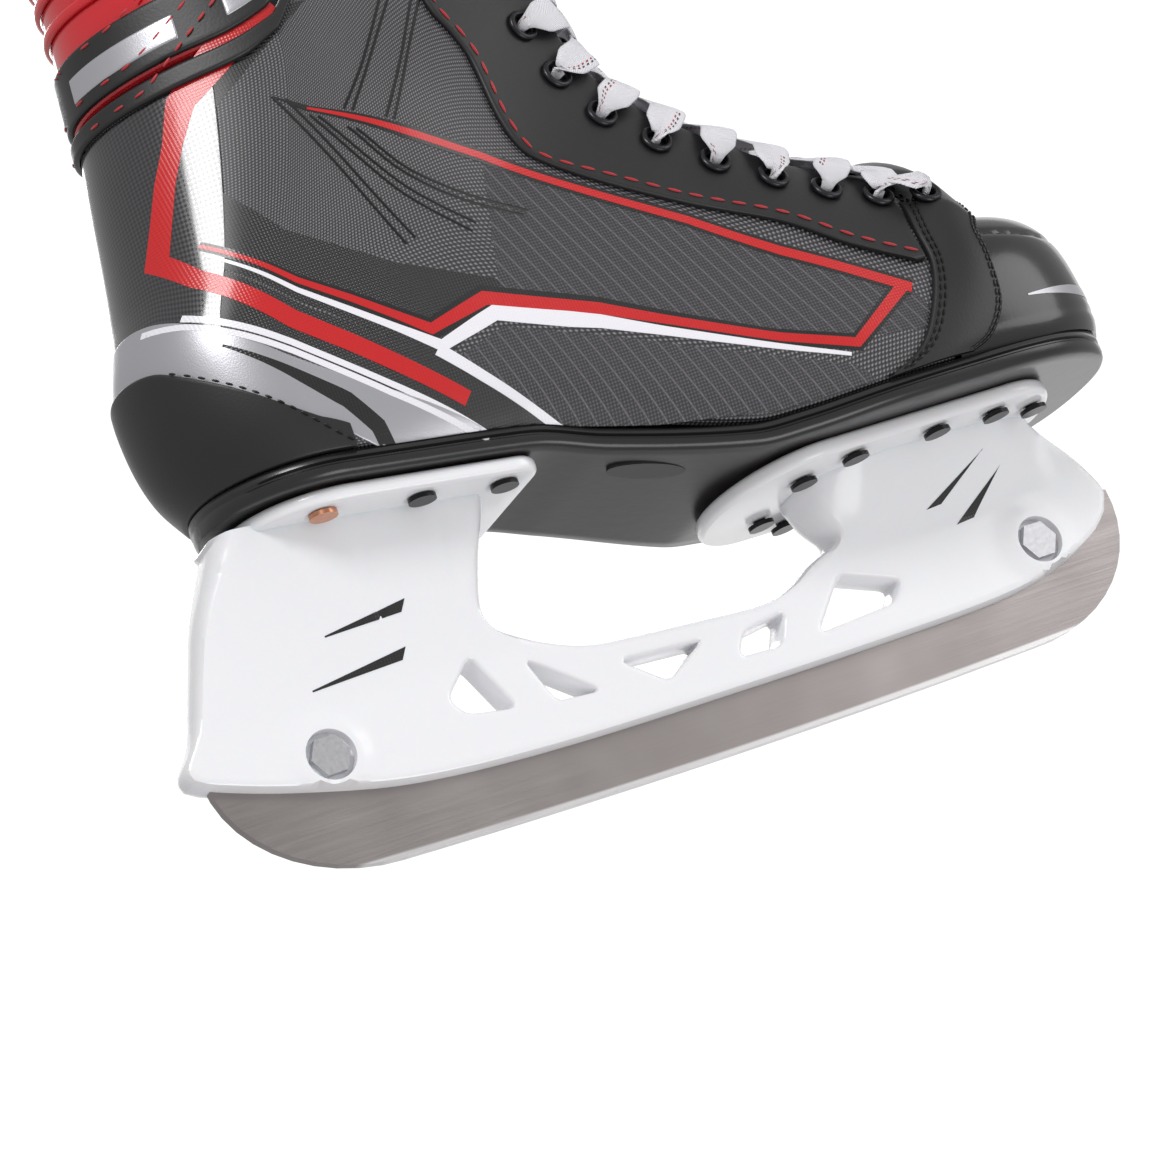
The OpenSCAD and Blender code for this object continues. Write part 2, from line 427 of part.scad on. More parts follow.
// ---------- upper ----------
welt = outsole_t + gap;
module quarter() difference() {
    side_wall(0.015, 2, 26, 16, -quarter_t, 0, welt, collar_line, front_edge);
    eyelet_holes(1);
}
module quarter_right() color("#4a4648") quarter();
module quarter_left() color("#4a4648") left() quarter();
function stay_grid(o, n, m) = [for (i = [0:n]) [for (j = [0:m]) let (h = lerp(36, 189, j / m),
    x = lerp(curve(eyestay_edge, h), min(curve(front_edge, h) + 0.6, curve(strip_back, h) - 1.2), i / n))
    side_pt(x, h, o)]];
module eyestay() difference() {
    wall(stay_grid(gap + overlay_t, 4, 26), stay_grid(gap, 4, 26));
    eyelet_holes(1);
}
module eyestay_right() color("#1b1b1d") eyestay();
module eyestay_left() color("#1b1b1d") left() eyestay();
module eyelet(k) along(eyelet_pt(k, 0), eyelet_dir(k)) rotate_extrude($fn = 28) polygon([
    [eyelet_bore / 2, -quarter_t - 1.5], [eyelet_d / 2 - 0.6, -quarter_t - 1.5],
    [eyelet_d / 2 - 0.6, -quarter_t - 0.9], [eyelet_bore / 2 + 0.9, -quarter_t - 0.9],
    [eyelet_bore / 2 + 0.9, gap + overlay_t + 0.5], [eyelet_d / 2, gap + overlay_t + 0.5],
    [eyelet_d / 2 - 0.5, gap + overlay_t + 1.3], [eyelet_bore / 2 + 0.5, gap + overlay_t + 1.5],
    [eyelet_bore / 2, gap + overlay_t + 1.1]]);
module eyelet_row() for (k = [0:eyelets - 1]) eyelet(k);
module eyelets_right() color("#2a2a2c") eyelet_row();
module eyelets_left() color("#2a2a2c") left() eyelet_row();
module toe_cap() color("#1d1b1c") wall(toe_grid(0), toe_grid(-toe_wall));
module toe_strip() color("#19191b") difference() {
    wall(strip_grid(overlay_t), strip_grid(0));
    both() eyelet_holes_at(0);
}
module eyelet_holes_at(k) along(eyelet_pt(k, 0), eyelet_dir(k))
    cylinder(d = eyelet_bore + 3, h = 30, center = true, $fn = 24);
patch_front = [[0, -82], [240, -82]];
module heel_patch() color("#1a1a1c")
    ring_wall(2, 14, 8, gap, gap + overlay_t, welt, patch_top, patch_front);
counter_t = 1.2;
counter_top = [[-125, 80], [-45, 62]];
counter_front = [[0, -45], [240, -45]];
in_1 = -quarter_t - gap;              // outside of the heel counter
in_2 = in_1 - counter_t - gap;        // outside of the lining
in_3 = in_2 - lining_t - gap;         // outside of the ankle pads
module heel_counter() color("#6b6b6b")
    ring_wall(2, 20, 6, in_1 - counter_t, in_1, welt, counter_top, counter_front);
lining_top = [for (p = collar_line) [p[0], p[1] - 3]];
lining_front = [for (p = front_edge) [p[0], p[1] - 38]];
module lining() color("#2b2b30")
    ring_wall(2, 22, 12, in_2 - lining_t, in_2, rivet_end + 0.6, lining_top, lining_front);
module ankle_pad_right() color("#3c3c44") side_wall(1.1, 1.9, 8, 6, in_3 - 5, in_3,
    [[-120, 88], [0, 80]], [[-120, 134], [-50, 146], [0, 128]], [[0, -18], [240, -18]]);
module ankle_pad_left() left() ankle_pad_right();
band_front = [[0, -19], [240, -19]];
band_top = [for (p = collar_line) [p[0], p[1] - 0.3]];
module guard_band() color("#1a1a1c")
    ring_wall(2, 16, 3, gap, gap + overlay_t, band_low, band_top, band_front);
guard_top = [for (p = [[-125, 0], [-98, 0], [-86, 7], [-60, 34], [-44, 46]]) [p[0], 145 + guard_h - p[1]]];
guard_low = [for (p = collar_line) [p[0], p[1] + 1]];
guard_front = [[140, -48], [182, -48], [200, -60], [240, -84]];
module tendon_guard() color("#c2161b")
    ring_wall(2, 14, 8, -quarter_t, 0, guard_low, guard_top, guard_front);
module guard_pad() color("#26262a")
    ring_wall(1.9, 12, 6, -quarter_t - gap - 4, -quarter_t - gap,
        [for (p = guard_low) [p[0], p[1] + 4]], [for (p = guard_top) [p[0], p[1] - 3]], guard_front);
module guard_ribs() color("#8f1014") for (k = [0:5]) let (h = 172 + 9 * k)
    ring_wall(0.42, 4, 1, 0.3, 1.5, [[-130, h], [0, h]], [[-130, h + 3.2], [0, h + 3.2]], guard_front);
module tongue() color("#1c1c1f") wall(tongue_grid(0, 0.995, 16, 19, 0), tongue_grid(0, 0.995, 16, 19, -tongue_t));
module tongue_flap() color("#1c1c1f") wall(tongue_grid(1.01, 1.3, 5, 19, 0), tongue_grid(1.01, 1.3, 5, 19, -tongue_t));
module tongue_shield() color("#101012") wall(tongue_grid(0.66, 0.93, 6, 15, 1.8), tongue_grid(0.66, 0.93, 6, 15, 0.3));
module lace() color("white") tube(lace_route, lace_d, 8);
module lace_tips() color("#d8d8d8") for (e = [[0, 1], [len(lace_route) - 1, len(lace_route) - 2]])
    let (a = lace_route[e[0]], d = unit(a - lace_route[e[1]]))
        along(a + 0.05 * d, d) cylinder(d = lace_d + 0.4, h = 14, $fn = 20);

runner();
blade_holder();
runner_bolts();
runner_nuts();
steel_rivets();
copper_rivets();
rivet_washers();
outsole();
sole_vent();
insole_board();
footbed();
toe_cap();
toe_strip();
quarter_right();
quarter_left();
eyestay_right();
eyestay_left();
eyelets_right();
eyelets_left();
heel_patch();
heel_counter();
lining();
ankle_pad_right();
ankle_pad_left();
guard_band();
tendon_guard();
guard_ribs();
guard_pad();
tongue();
tongue_shield();
tongue_flap();
lace();
lace_tips();
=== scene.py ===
# %% [markdown]
# # An ice hockey skate
# A moulded boot with a sprung tendon guard and a folding tongue top, riveted to a plastic
# holder that carries a bolted steel runner. Every skin below stands for a solid of the
# mechanical model and rides on that solid's body, so the looks move as the solids do.
# %% Frame and imports
import json
import math
import bpy
import numpy as np
from mathutils import Matrix, Vector
from mathutils.geometry import delaunay_2d_cdt

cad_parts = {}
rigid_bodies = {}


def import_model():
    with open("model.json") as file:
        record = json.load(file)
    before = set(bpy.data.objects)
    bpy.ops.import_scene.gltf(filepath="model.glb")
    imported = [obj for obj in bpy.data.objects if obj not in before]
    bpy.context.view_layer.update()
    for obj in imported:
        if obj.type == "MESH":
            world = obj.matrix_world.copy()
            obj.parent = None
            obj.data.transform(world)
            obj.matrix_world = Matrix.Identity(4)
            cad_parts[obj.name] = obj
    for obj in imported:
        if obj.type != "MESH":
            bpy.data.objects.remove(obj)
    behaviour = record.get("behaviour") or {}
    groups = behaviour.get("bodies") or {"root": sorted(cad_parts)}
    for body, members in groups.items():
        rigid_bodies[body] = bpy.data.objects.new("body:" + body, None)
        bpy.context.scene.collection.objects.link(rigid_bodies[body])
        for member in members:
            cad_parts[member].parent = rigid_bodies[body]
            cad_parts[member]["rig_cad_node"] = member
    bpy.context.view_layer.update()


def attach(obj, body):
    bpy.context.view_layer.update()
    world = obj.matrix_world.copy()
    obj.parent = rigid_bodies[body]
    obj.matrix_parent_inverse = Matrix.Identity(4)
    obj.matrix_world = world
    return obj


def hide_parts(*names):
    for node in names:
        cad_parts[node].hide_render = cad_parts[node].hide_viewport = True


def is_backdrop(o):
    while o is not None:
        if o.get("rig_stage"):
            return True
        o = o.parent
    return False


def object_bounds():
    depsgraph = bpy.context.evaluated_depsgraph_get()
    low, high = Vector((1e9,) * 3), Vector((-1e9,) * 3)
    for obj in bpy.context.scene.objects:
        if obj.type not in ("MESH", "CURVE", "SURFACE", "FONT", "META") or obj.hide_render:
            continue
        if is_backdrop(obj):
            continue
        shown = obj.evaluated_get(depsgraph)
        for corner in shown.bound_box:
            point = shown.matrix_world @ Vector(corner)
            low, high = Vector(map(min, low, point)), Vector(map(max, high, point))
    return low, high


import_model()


# %% [markdown]
# ## Materials
# Patterns run on each piece's own lengths in metres, so a thread or a grain has its real
# size wherever the piece lies.
# %% Material helpers


def lin(code):
    """Linear colour of an sRGB hex code."""
    c = [int(code[i:i + 2], 16) / 255 for i in (1, 3, 5)]
    return tuple(v / 12.92 if v <= 0.04045 else ((v + 0.055) / 1.055) ** 2.4 for v in c) + (1.0,)


def node(m, kind, inputs=(), out=0, **settings):
    """Add one node with its settings; inputs pairs a socket with a constant or a link."""
    n = m.node_tree.nodes.new("ShaderNode" + kind)
    for key, value in settings.items():
        setattr(n, key, value)
    for key, value in dict(inputs).items():
        if isinstance(value, bpy.types.NodeSocket):
            m.node_tree.links.new(value, n.inputs[key])
        else:
            n.inputs[key].default_value = value
    return n.outputs[out]


def material(name, colour, rough, **inputs):
    """Principled material with a colour, a roughness and any other inputs."""
    m = bpy.data.materials.new(name)
    m.use_nodes = True
    b = m.node_tree.nodes["Principled BSDF"]
    b.inputs["Base Color"].default_value = lin(colour)
    b.inputs["Roughness"].default_value = rough
    for key, value in inputs.items():
        b.inputs[key.replace("_", " ")].default_value = value
    return m


def feed(m, **sockets):
    """Link sockets to the surface's inputs."""
    b = m.node_tree.nodes["Principled BSDF"]
    for key, value in sockets.items():
        m.node_tree.links.new(value, b.inputs[key.replace("_", " ")])
    return m


def bump(m, height, depth, strength=1.0):
    """Relief of that depth in metres."""
    return node(m, "Bump", {"Height": height, "Distance": depth, "Strength": strength}, out="Normal")


def math_node(m, what, a, b=0.0, clamp=False):
    """One arithmetic step."""
    return node(m, "Math", {0: a, 1: b}, operation=what, use_clamp=clamp)


def blend_colour(m, fac, a, b):
    """Mix of two colours by a factor."""
    inputs = {"Factor": fac, 6: a if isinstance(a, bpy.types.NodeSocket) else lin(a),
              7: b if isinstance(b, bpy.types.NodeSocket) else lin(b)}
    return node(m, "Mix", inputs, out=2, data_type="RGBA")


def uv_axes(m, turn=0.0):
    """The two lengths along a piece, in metres, turned by an angle."""
    v = node(m, "TexCoord", out="UV")
    v = node(m, "VectorRotate", {"Vector": v, "Angle": turn}, rotation_type="Z_AXIS")
    return node(m, "SeparateXYZ", {0: v}, out=0), node(m, "SeparateXYZ", {0: v}, out=1)


def ramp(m, fac, low, high):
    """0 below low, 1 above high, straight between."""
    return node(m, "MapRange", {"Value": fac, "From Min": low, "From Max": high})


def grain(m, size, detail=2.0, coords="Object", stretch=(1, 1, 1)):
    """Noise whose features are about size metres across."""
    v = node(m, "TexCoord", out=coords)
    v = node(m, "VectorMath", {0: v, 1: stretch}, operation="MULTIPLY")
    return node(m, "TexNoise", {"Vector": v, "Scale": 1 / size, "Detail": detail}, out=0)


def wave(m, x, length):
    """Sine of a length x, with that wavelength."""
    return math_node(m, "SINE", math_node(m, "MULTIPLY", x, 2 * math.pi / length))


def weave(m, pitch, turn):
    """Plain weave: 1 where one thread lies on top, 0 where the other does."""
    x, y = uv_axes(m, turn)
    over_under = math_node(m, "MULTIPLY", wave(m, x, 2 * pitch), wave(m, y, 2 * pitch))
    return ramp(m, over_under, -1.0, 1.0)


# %% [markdown]
# ### Woven and printed skins of the quarter
# %% Quarter materials
# Quarter fabric: coarse black and grey polyester, thermoformed onto the shell under a clear
# film. Its light threads show as rows of small dots, and the film gives a broad soft shine.
quarter_mat = material("quarter_weave", "#333135", 0.36, Coat_Weight=0.35, Coat_Roughness=0.3)
w = weave(quarter_mat, 0.00062, 0.785)
dots = ramp(quarter_mat, w, 0.5, 0.98)
feed(quarter_mat, Base_Color=blend_colour(quarter_mat, dots, "#252427", "#8a868b"),
     Normal=bump(quarter_mat, w, 0.00022))

# Black woven border: the same cloth printed black, so only its relief is left.
border_mat = material("black_print_on_weave", "#101012", 0.32, Coat_Weight=0.4, Coat_Roughness=0.25)
w = weave(border_mat, 0.0006, 0.785)
feed(border_mat, Base_Color=blend_colour(border_mat, ramp(border_mat, w, 0.6, 1.0), "#0d0d0f", "#343338"),
     Normal=bump(border_mat, w, 0.00018))

# Heel skin: fine twill composite under a glossy resin, darker and shinier than the sides.
carbon_mat = material("carbon_twill", "#1b1a1c", 0.2, Coat_Weight=0.8, Coat_Roughness=0.1)
w = weave(carbon_mat, 0.0008, 0.6)
feed(carbon_mat, Base_Color=blend_colour(carbon_mat, w, "#121113", "#3d3b3f"),
     Roughness=ramp(carbon_mat, w, -0.4, 4.0))

# Ribbed cloth of the lower quarter: the weave is pressed into fine slanting ribs.
ribbed_mat = material("ribbed_weave", "#3a383b", 0.42, Coat_Weight=0.2, Coat_Roughness=0.35)
rx, ry = uv_axes(ribbed_mat, -0.38)
rib = math_node(ribbed_mat, "ABSOLUTE", wave(ribbed_mat, rx, 0.0072))
w = weave(ribbed_mat, 0.00062, 0.785)
groove = ramp(ribbed_mat, rib, 0.0, 0.3)
feed(ribbed_mat, Base_Color=blend_colour(ribbed_mat, groove, "#77737a",
     blend_colour(ribbed_mat, ramp(ribbed_mat, w, 0.4, 1.0), "#242326", "#5b585d")),
     Normal=bump(ribbed_mat, math_node(ribbed_mat, "ADD", w, math_node(ribbed_mat, "MULTIPLY", groove, 1.5)),
                 0.0002))

# Screen inks: glossy enamel over the weave, whose threads still read through them.
inks = {}
for key, code, rough in (("red", "#c4060c", 0.28), ("white", "#eceaf0", 0.3), ("black", "#0b0b0c", 0.3)):
    inks[key] = material("ink_" + key, code, rough, Coat_Weight=0.5, Coat_Roughness=0.15)
    feed(inks[key], Normal=bump(inks[key], weave(inks[key], 0.0006, 0.785), 0.00007))

# Silver transfer: a foil with a fine satin grain.
silver_mat = material("silver_transfer", "#b9b9be", 0.34, Metallic=0.75)
feed(silver_mat, Normal=bump(silver_mat, grain(silver_mat, 0.0004), 0.00003))

# Pressed lines: the shell's embossed lines, filled black; they break up the sheen.
line_mat = material("pressed_black_line", "#0c0c0d", 0.4)
print("materials so far:", len(bpy.data.materials))

# %% [markdown]
# ### Overlays, thread and soft parts
# %% Overlay materials
# Overlay leather: smooth black synthetic leather with a faint pebble, die cut and stitched.
leather_mat = material("black_synthetic_leather", "#1d1d1f", 0.42)
feed(leather_mat, Normal=bump(leather_mat, grain(leather_mat, 0.0007, 3.0), 0.00004))

# Red bonded polyester thread, twisted: fine turns across each stitch.
red_thread = material("red_thread", "#b01a22", 0.55, Sheen_Weight=0.3)
# Black bonded polyester thread, a little glossier than the leather under it.
black_thread = material("black_thread", "#060606", 0.35)

# Tongue felt: needled wool blend, matt, fuzzy at the edge.
felt_mat = material("black_felt", "#1c1c1f", 0.9, Sheen_Weight=0.5, Sheen_Roughness=0.5)
feed(felt_mat, Normal=bump(felt_mat, grain(felt_mat, 0.0006, 4.0), 0.0003))

# Liner: brushed microfibre, near black, with a soft nap.
liner_mat = material("microfibre_liner", "#25252a", 0.85, Sheen_Weight=0.6, Sheen_Roughness=0.4)
feed(liner_mat, Normal=bump(liner_mat, weave(liner_mat, 0.0007, 0.0), 0.0001))

# Foam: closed cell, dark grey, with fine open pores at its cut faces.
foam_mat = material("closed_cell_foam", "#3c3c44", 0.95)
feed(foam_mat, Normal=bump(foam_mat, grain(foam_mat, 0.0009, 3.0), 0.0003))

# Lace: waxed polyester, woven flat; a chevron of fine ridges and a row of black and red
# tracer threads along each edge.
lace_mat = material("woven_lace", "#eeecf2", 0.6, Sheen_Weight=0.2)
lx, ly = uv_axes(lace_mat)
edge = math_node(lace_mat, "ABSOLUTE", ly)
slant = math_node(lace_mat, "ADD", lx, math_node(lace_mat, "MULTIPLY", edge, 0.8))
ridge = wave(lace_mat, slant, 0.0007)
dash = math_node(lace_mat, "GREATER_THAN", wave(lace_mat, slant, 0.0021), 0.1)
lane_a = math_node(lace_mat, "COMPARE", ly, 0.0020)
lace_mat.node_tree.nodes[-1].inputs[2].default_value = 0.00022
lane_b = math_node(lace_mat, "COMPARE", ly, 0.0027)
lace_mat.node_tree.nodes[-1].inputs[2].default_value = 0.00022
long_wave = math_node(lace_mat, "GREATER_THAN", wave(lace_mat, lx, 0.03), -0.2)
tracer_a = math_node(lace_mat, "MULTIPLY", math_node(lace_mat, "MULTIPLY", lane_a, dash), long_wave)
tracer_b = math_node(lace_mat, "MULTIPLY", math_node(lace_mat, "MULTIPLY", lane_b, dash), long_wave)
tinted = blend_colour(lace_mat, tracer_a, blend_colour(lace_mat, tracer_b, "#eeecf2", "#161214"), "#a8182c")
feed(lace_mat, Base_Color=tinted, Normal=bump(lace_mat, ridge, 0.00012))
print("materials so far:", len(bpy.data.materials))

# %% [markdown]
# ### Plastics and metals
# %% Plastic and metal materials
# Holder: white glass-filled nylon from a polished mould; glossy, with a faint flow ripple.
nylon_mat = material("white_nylon", "#ededf0", 0.22, Coat_Weight=0.3, Coat_Roughness=0.08,
                     Subsurface_Weight=0.12, Subsurface_Scale=0.003)
feed(nylon_mat, Normal=bump(nylon_mat, grain(nylon_mat, 0.02, 1.0), 0.00012, 0.5))

# Toe cap: impact-modified plastic, glossy, brown-black, with a faint moulded grain.
toe_mat = material("black_toe_plastic", "#1a1718", 0.24, Coat_Weight=0.4, Coat_Roughness=0.12)
feed(toe_mat, Normal=bump(toe_mat, grain(toe_mat, 0.0012, 2.0), 0.00003))

# Outsole: pressed composite plate under black resin; satin, with a slight orange peel.
outsole_mat = material("outsole_composite", "#161617", 0.3, Coat_Weight=0.3, Coat_Roughness=0.2)
feed(outsole_mat, Normal=bump(outsole_mat, grain(outsole_mat, 0.004, 2.0), 0.00005))

# Vent: fine black nylon mesh set in a plain bezel.
vent_mat = material("vent_nylon", "#2a2a2d", 0.4)

# Guard: clear red thermoplastic elastomer; light passes into it and comes back warmer.
guard_mat = material("red_clear_plastic", "#c81420", 0.12, Coat_Weight=0.6, Coat_Roughness=0.05,
                     Subsurface_Weight=0.35, Subsurface_Scale=0.004)
b_radius = guard_mat.node_tree.nodes["Principled BSDF"].inputs["Subsurface Radius"]
b_radius.default_value = (1.0, 0.15, 0.1)

# Tongue plate: hard black plastic, injection moulded, satin.
plate_mat = material("black_plastic_plate", "#121214", 0.35)

# Runner: hardened stainless strip, ground lengthwise, then cross-ground at the edge. The long
# scratches smear reflections; the last millimetre above the ice, where it is sharpened, is painted near white as a
# highlight along the edge.
steel_mat = material("ground_stainless", "#a49d9c", 0.3, Metallic=1.0)
scratch = grain(steel_mat, 0.0004, 3.0, stretch=(0.02, 1, 1))
cloud = grain(steel_mat, 0.03, 2.0)
oxyz = node(steel_mat, "TexCoord", out="Object")
sx, sz = node(steel_mat, "SeparateXYZ", {0: oxyz}, out=0), node(steel_mat, "SeparateXYZ", {0: oxyz}, out=2)
off = math_node(steel_mat, "SUBTRACT", sx, 0.008)
rocker = math_node(steel_mat, "MULTIPLY", math_node(steel_mat, "MULTIPLY", off, off), 1 / 6.0)
above = math_node(steel_mat, "SUBTRACT", sz, rocker)
# painted highlight: the sharpened bottom millimetre of the runner is mixed towards near white
sharpened_edge_highlight = ramp(steel_mat, above, 0.0016, 0.0010)
tone = blend_colour(steel_mat, cloud, "#8f8887", "#b3acab")
feed(steel_mat, Base_Color=blend_colour(steel_mat, sharpened_edge_highlight, tone, "#e4e2e2"),
     Roughness=ramp(steel_mat, scratch, -0.6, 2.2), Normal=bump(steel_mat, scratch, 0.00002))

# Bolts: zinc-plated steel hexagons, machined faces slightly dull.
zinc_mat = material("zinc_plated_steel", "#c9c9cc", 0.28, Metallic=1.0)
feed(zinc_mat, Roughness=ramp(zinc_mat, grain(zinc_mat, 0.001, 3.0), -0.4, 1.9))
# Painted rivets: steel under black oxide and lacquer.
rivet_mat = material("black_lacquered_steel", "#1a1a1c", 0.3, Metallic=0.6)
feed(rivet_mat, Normal=bump(rivet_mat, grain(rivet_mat, 0.0012, 2.0), 0.00003))
# Copper rivet: cold headed, bright, with a trace of tarnish.
copper_mat = material("copper", "#c98a6a", 0.25, Metallic=1.0)
feed(copper_mat, Base_Color=blend_colour(copper_mat, grain(copper_mat, 0.002, 3.0), "#a8623f", "#e0a789"))
# Eyelets: pressed brass under gunmetal lacquer, worn bright at the rim.
eyelet_mat = material("gunmetal_eyelet", "#3a3a3d", 0.22, Metallic=0.9)
feed(eyelet_mat, Roughness=ramp(eyelet_mat, grain(eyelet_mat, 0.0008, 2.0), -0.4, 2.4))
# Fibre board: pressed leather fibre, tan and matt, with flecks.
board_mat = material("leather_fibre_board", "#b79f76", 0.85)
feed(board_mat, Base_Color=blend_colour(board_mat, grain(board_mat, 0.0012, 4.0), "#9c855e", "#cdb68c"))
# Heel counter: grey thermoplastic board, heat shaped.
counter_mat = material("counter_board", "#6b6b6b", 0.7)
feed(counter_mat, Normal=bump(counter_mat, grain(counter_mat, 0.001, 3.0), 0.0001))
# Lace tips: clear acetate rolled round the lace's end.
tip_mat = material("acetate_tip", "#d8d8dc", 0.2, Transmission_Weight=0.4)
feed(tip_mat, Normal=bump(tip_mat, grain(tip_mat, 0.002, 1.0), 0.00005))
print("materials so far:", len(bpy.data.materials))

# %% [markdown]
# ## The last: one shape that every layer of the boot follows
# A skate boot is lasted: each layer is pulled over the same foot-shaped form.
# The form is described by a few lines seen from the side and from above, and every
# layer is that shape grown by its own distance, so layers lie on each other by construction.
# %% The lines of the last, in millimetres
STACK = 66.0          # underside of the sole above the ice, at the ball
WELT = 6.3            # where the upper starts, above the underside of the sole
SOLE = [[-126, 30.9], [-113, 29.5], [-92, 27], [-66, 24], [-40, 20.9], [-30, 19],
        [-15, 13.5], [22, 1.8], [36, 0.4], [50, 0], [120, 0], [150, 0.1]]
BACK = [[20, -108], [29, -112], [36, -116], [46, -121], [59, -123], [74, -122],
        [91, -116], [127, -108], [141, -105], [188, -99], [240, -97]]
ROUND = [[20, 30], [64, 32], [134, 46], [190, 42], [240, 40]]
RIDGE = [[-120, 254], [20, 141], [46, 117], [58, 105], [75, 91], [92, 81],
         [103, 77.5], [112, 76], [119, 72], [125, 64], [129, 47]]
HALF_WIDTH = [[-125, 32], [-90, 33], [-50, 37], [-10, 38.5], [30, 42], [60, 46],
              [90, 47], [110, 46], [130, 42]]
ARCH = [[-120, 115], [0, 115], [40, 105], [60, 90], [98, 68], [128, 55]]
SOLE_WIDTH = [[-126, 30], [-90, 31], [-41, 30], [-15, 30], [22, 36], [60, 44],
              [90, 45.5], [110, 45], [130, 43], [150, 40]]
FRONT = [[0, 82], [10, 84], [20, 89], [34, 93], [49, 94.8], [58, 98], [66, 93],
         [72, 84], [79, 68], [94, 48], [109, 34], [124, 27], [144, 25], [192, 23]]
STRIP_BACK = [[6.6, 61], [12, 73], [22, 82], [34, 89], [45, 91.5], [56, 95], [80, 97]]
EYESTAY = [[36, 86], [46, 70], [58, 55], [71, 31], [82, 13], [93, -2], [98, -6],
           [108, -8], [126, -8], [134, -10], [141, -13], [150, -14], [192, -12]]
COLLAR = [[-125, 144], [-105, 145], [-93, 146], [-80, 153], [-60, 167], [-40, 180],
          [-20, 188], [25, 190], [150, 190]]
BAND_LOW = [[-125, 139], [-105, 139], [-93, 140], [-88, 143], [-62, 161], [-40, 175], [-18, 186]]
PATCH_TOP = [[-125, 74], [-122, 74], [-114, 70], [-109, 65], [-95, 51.5], [-84, 40], [-78, 35]]


def curve(p, t):
    """Smooth line through the knots of p: a cubic between neighbours, whose end slopes
    are the slopes of the chords across each knot."""
    k, v = np.array(p, float).T
    t = np.asarray(t, float)
    n = len(k)
    a, b = np.maximum(np.arange(n) - 1, 0), np.minimum(np.arange(n) + 1, n - 1)
    m = (v[b] - v[a]) / (k[b] - k[a])
    i = np.clip(np.searchsorted(k, t, "right") - 1, 0, n - 2)
    h = k[i + 1] - k[i]
    u = np.clip((t - k[i]) / h, 0, 1)
    return ((2 * u**3 - 3 * u**2 + 1) * v[i] + (u**3 - 2 * u**2 + u) * h * m[i]
            + (3 * u**2 - 2 * u**3) * v[i + 1] + (u**3 - u**2) * h * m[i + 1])


def lerp(a, b, t):
    """Straight mix of a and b."""
    return a + (b - a) * t


def half(x, h):
    """Half width at station x and height h: the width in plan times a quarter circle of the
    depth below the top line, plus the ankle bone's bulge, tucked in towards the sole."""
    drop = 0.82 * (curve(RIDGE, x) - h)
    ahead = 40 - x
    mix = np.maximum(18 - np.abs(ahead - drop), 0) / 18
    depth = np.maximum(ahead, drop) + mix**2 * 18 / 4
    t = np.clip(depth / curve(ARCH, x), 0.002, 1)
    w = curve(HALF_WIDTH, x) * np.sqrt(1 - (1 - t) ** 2)
    w = w + 4 * np.exp(-((x + 38) / 26) ** 2 - ((h - 118) / 24) ** 2)
    s = curve(SOLE_WIDTH, x) - 0.8
    return w - (w - s) * np.exp(-np.maximum(h - curve(SOLE, x) - 6, 0) / 12)


def skin(x, h, o=0.0, side=-1):
    """Point a distance o outside the quarter at station x and height h: the side wall, and
    behind it a quarter ellipse that closes the heel."""
    x, h, o = np.broadcast_arrays(np.asarray(x, float), h, o)
    b, r = curve(BACK, h), curve(ROUND, h)
    c = np.clip(1 - (x - b) / r, 0, 1)
    y = side * (half(x, h) + o) * np.sqrt(1 - c * c)
    return np.stack([x - o * c, y, STACK + h], -1)


def skin_u(u, h, o, front):
    """The same surface by u: 0 is the heel's centre line, 1 the end of the heel's round and
    2 the front edge; a minus sign takes the left side."""
    a = np.abs(u)
    b, r = curve(BACK, h), curve(ROUND, h)
    x = np.where(a < 1, b + r * (1 - np.cos(a * np.pi / 2)), lerp(b + r, front, a - 1))
    round_x = b - o + (r + o) * (1 - np.cos(a * np.pi / 2))
    # the round takes its width from the true station, as the quarter ellipse does
    y = (half(x, h) + o) * np.where(a < 1, np.sin(np.minimum(a, 1) * np.pi / 2), 1)
    return np.stack([np.where(a < 1, round_x, x), -np.sign(u) * y, STACK + h], -1)

# %% [markdown]
# ## From grids of points to closed pieces
# Each layer is computed as two grids of points, its outer and its inner face, for whole
# arrays at once. The rims between them close the piece, so it has a real thickness.
# %% Mesh helpers
MM = 0.001


def mesh_object(name, points, faces, material, uv=None, sharp=38, flip=None):
    """Mesh from points in millimetres. Faces turn outward where the signed volume, the sum
    of the triple products of the faces' corners, comes out negative."""
    points = np.asarray(points, float)
    faces = [list(map(int, f)) for f in faces]
    if flip is None:
        f3 = np.array([f[:3] for f in faces] + [[f[0], f[2], f[3]] for f in faces if len(f) == 4])
        a, b, c = (points[f3[:, i]] - points.mean(0) for i in range(3))
        flip = np.einsum("ij,ij->i", a, np.cross(b, c)).sum() < 0
    if flip:
        faces = [f[::-1] for f in faces]
    me = bpy.data.meshes.new(name)
    me.from_pydata((points * MM).tolist(), [], faces)
    if uv is not None:
        loops = np.empty(len(me.loops), int)
        me.loops.foreach_get("vertex_index", loops)
        layer = me.uv_layers.new(name="UVMap")
        layer.data.foreach_set("uv", (np.asarray(uv, float)[loops] * MM).ravel())
    me.polygons.foreach_set("use_smooth", [True] * len(me.polygons))
    me.set_sharp_from_angle(angle=math.radians(sharp))
    me.materials.append(material)
    me.update()
    ob = bpy.data.objects.new(name, me)
    bpy.context.scene.collection.objects.link(ob)
    return ob


def grid_faces(n, m, start=0):
    """Quads of an n by m grid of points."""
    i = (np.arange(n - 1)[:, None] * m + np.arange(m - 1)[None, :]).ravel() + start
    return np.stack([i, i + 1, i + m + 1, i + m], 1)


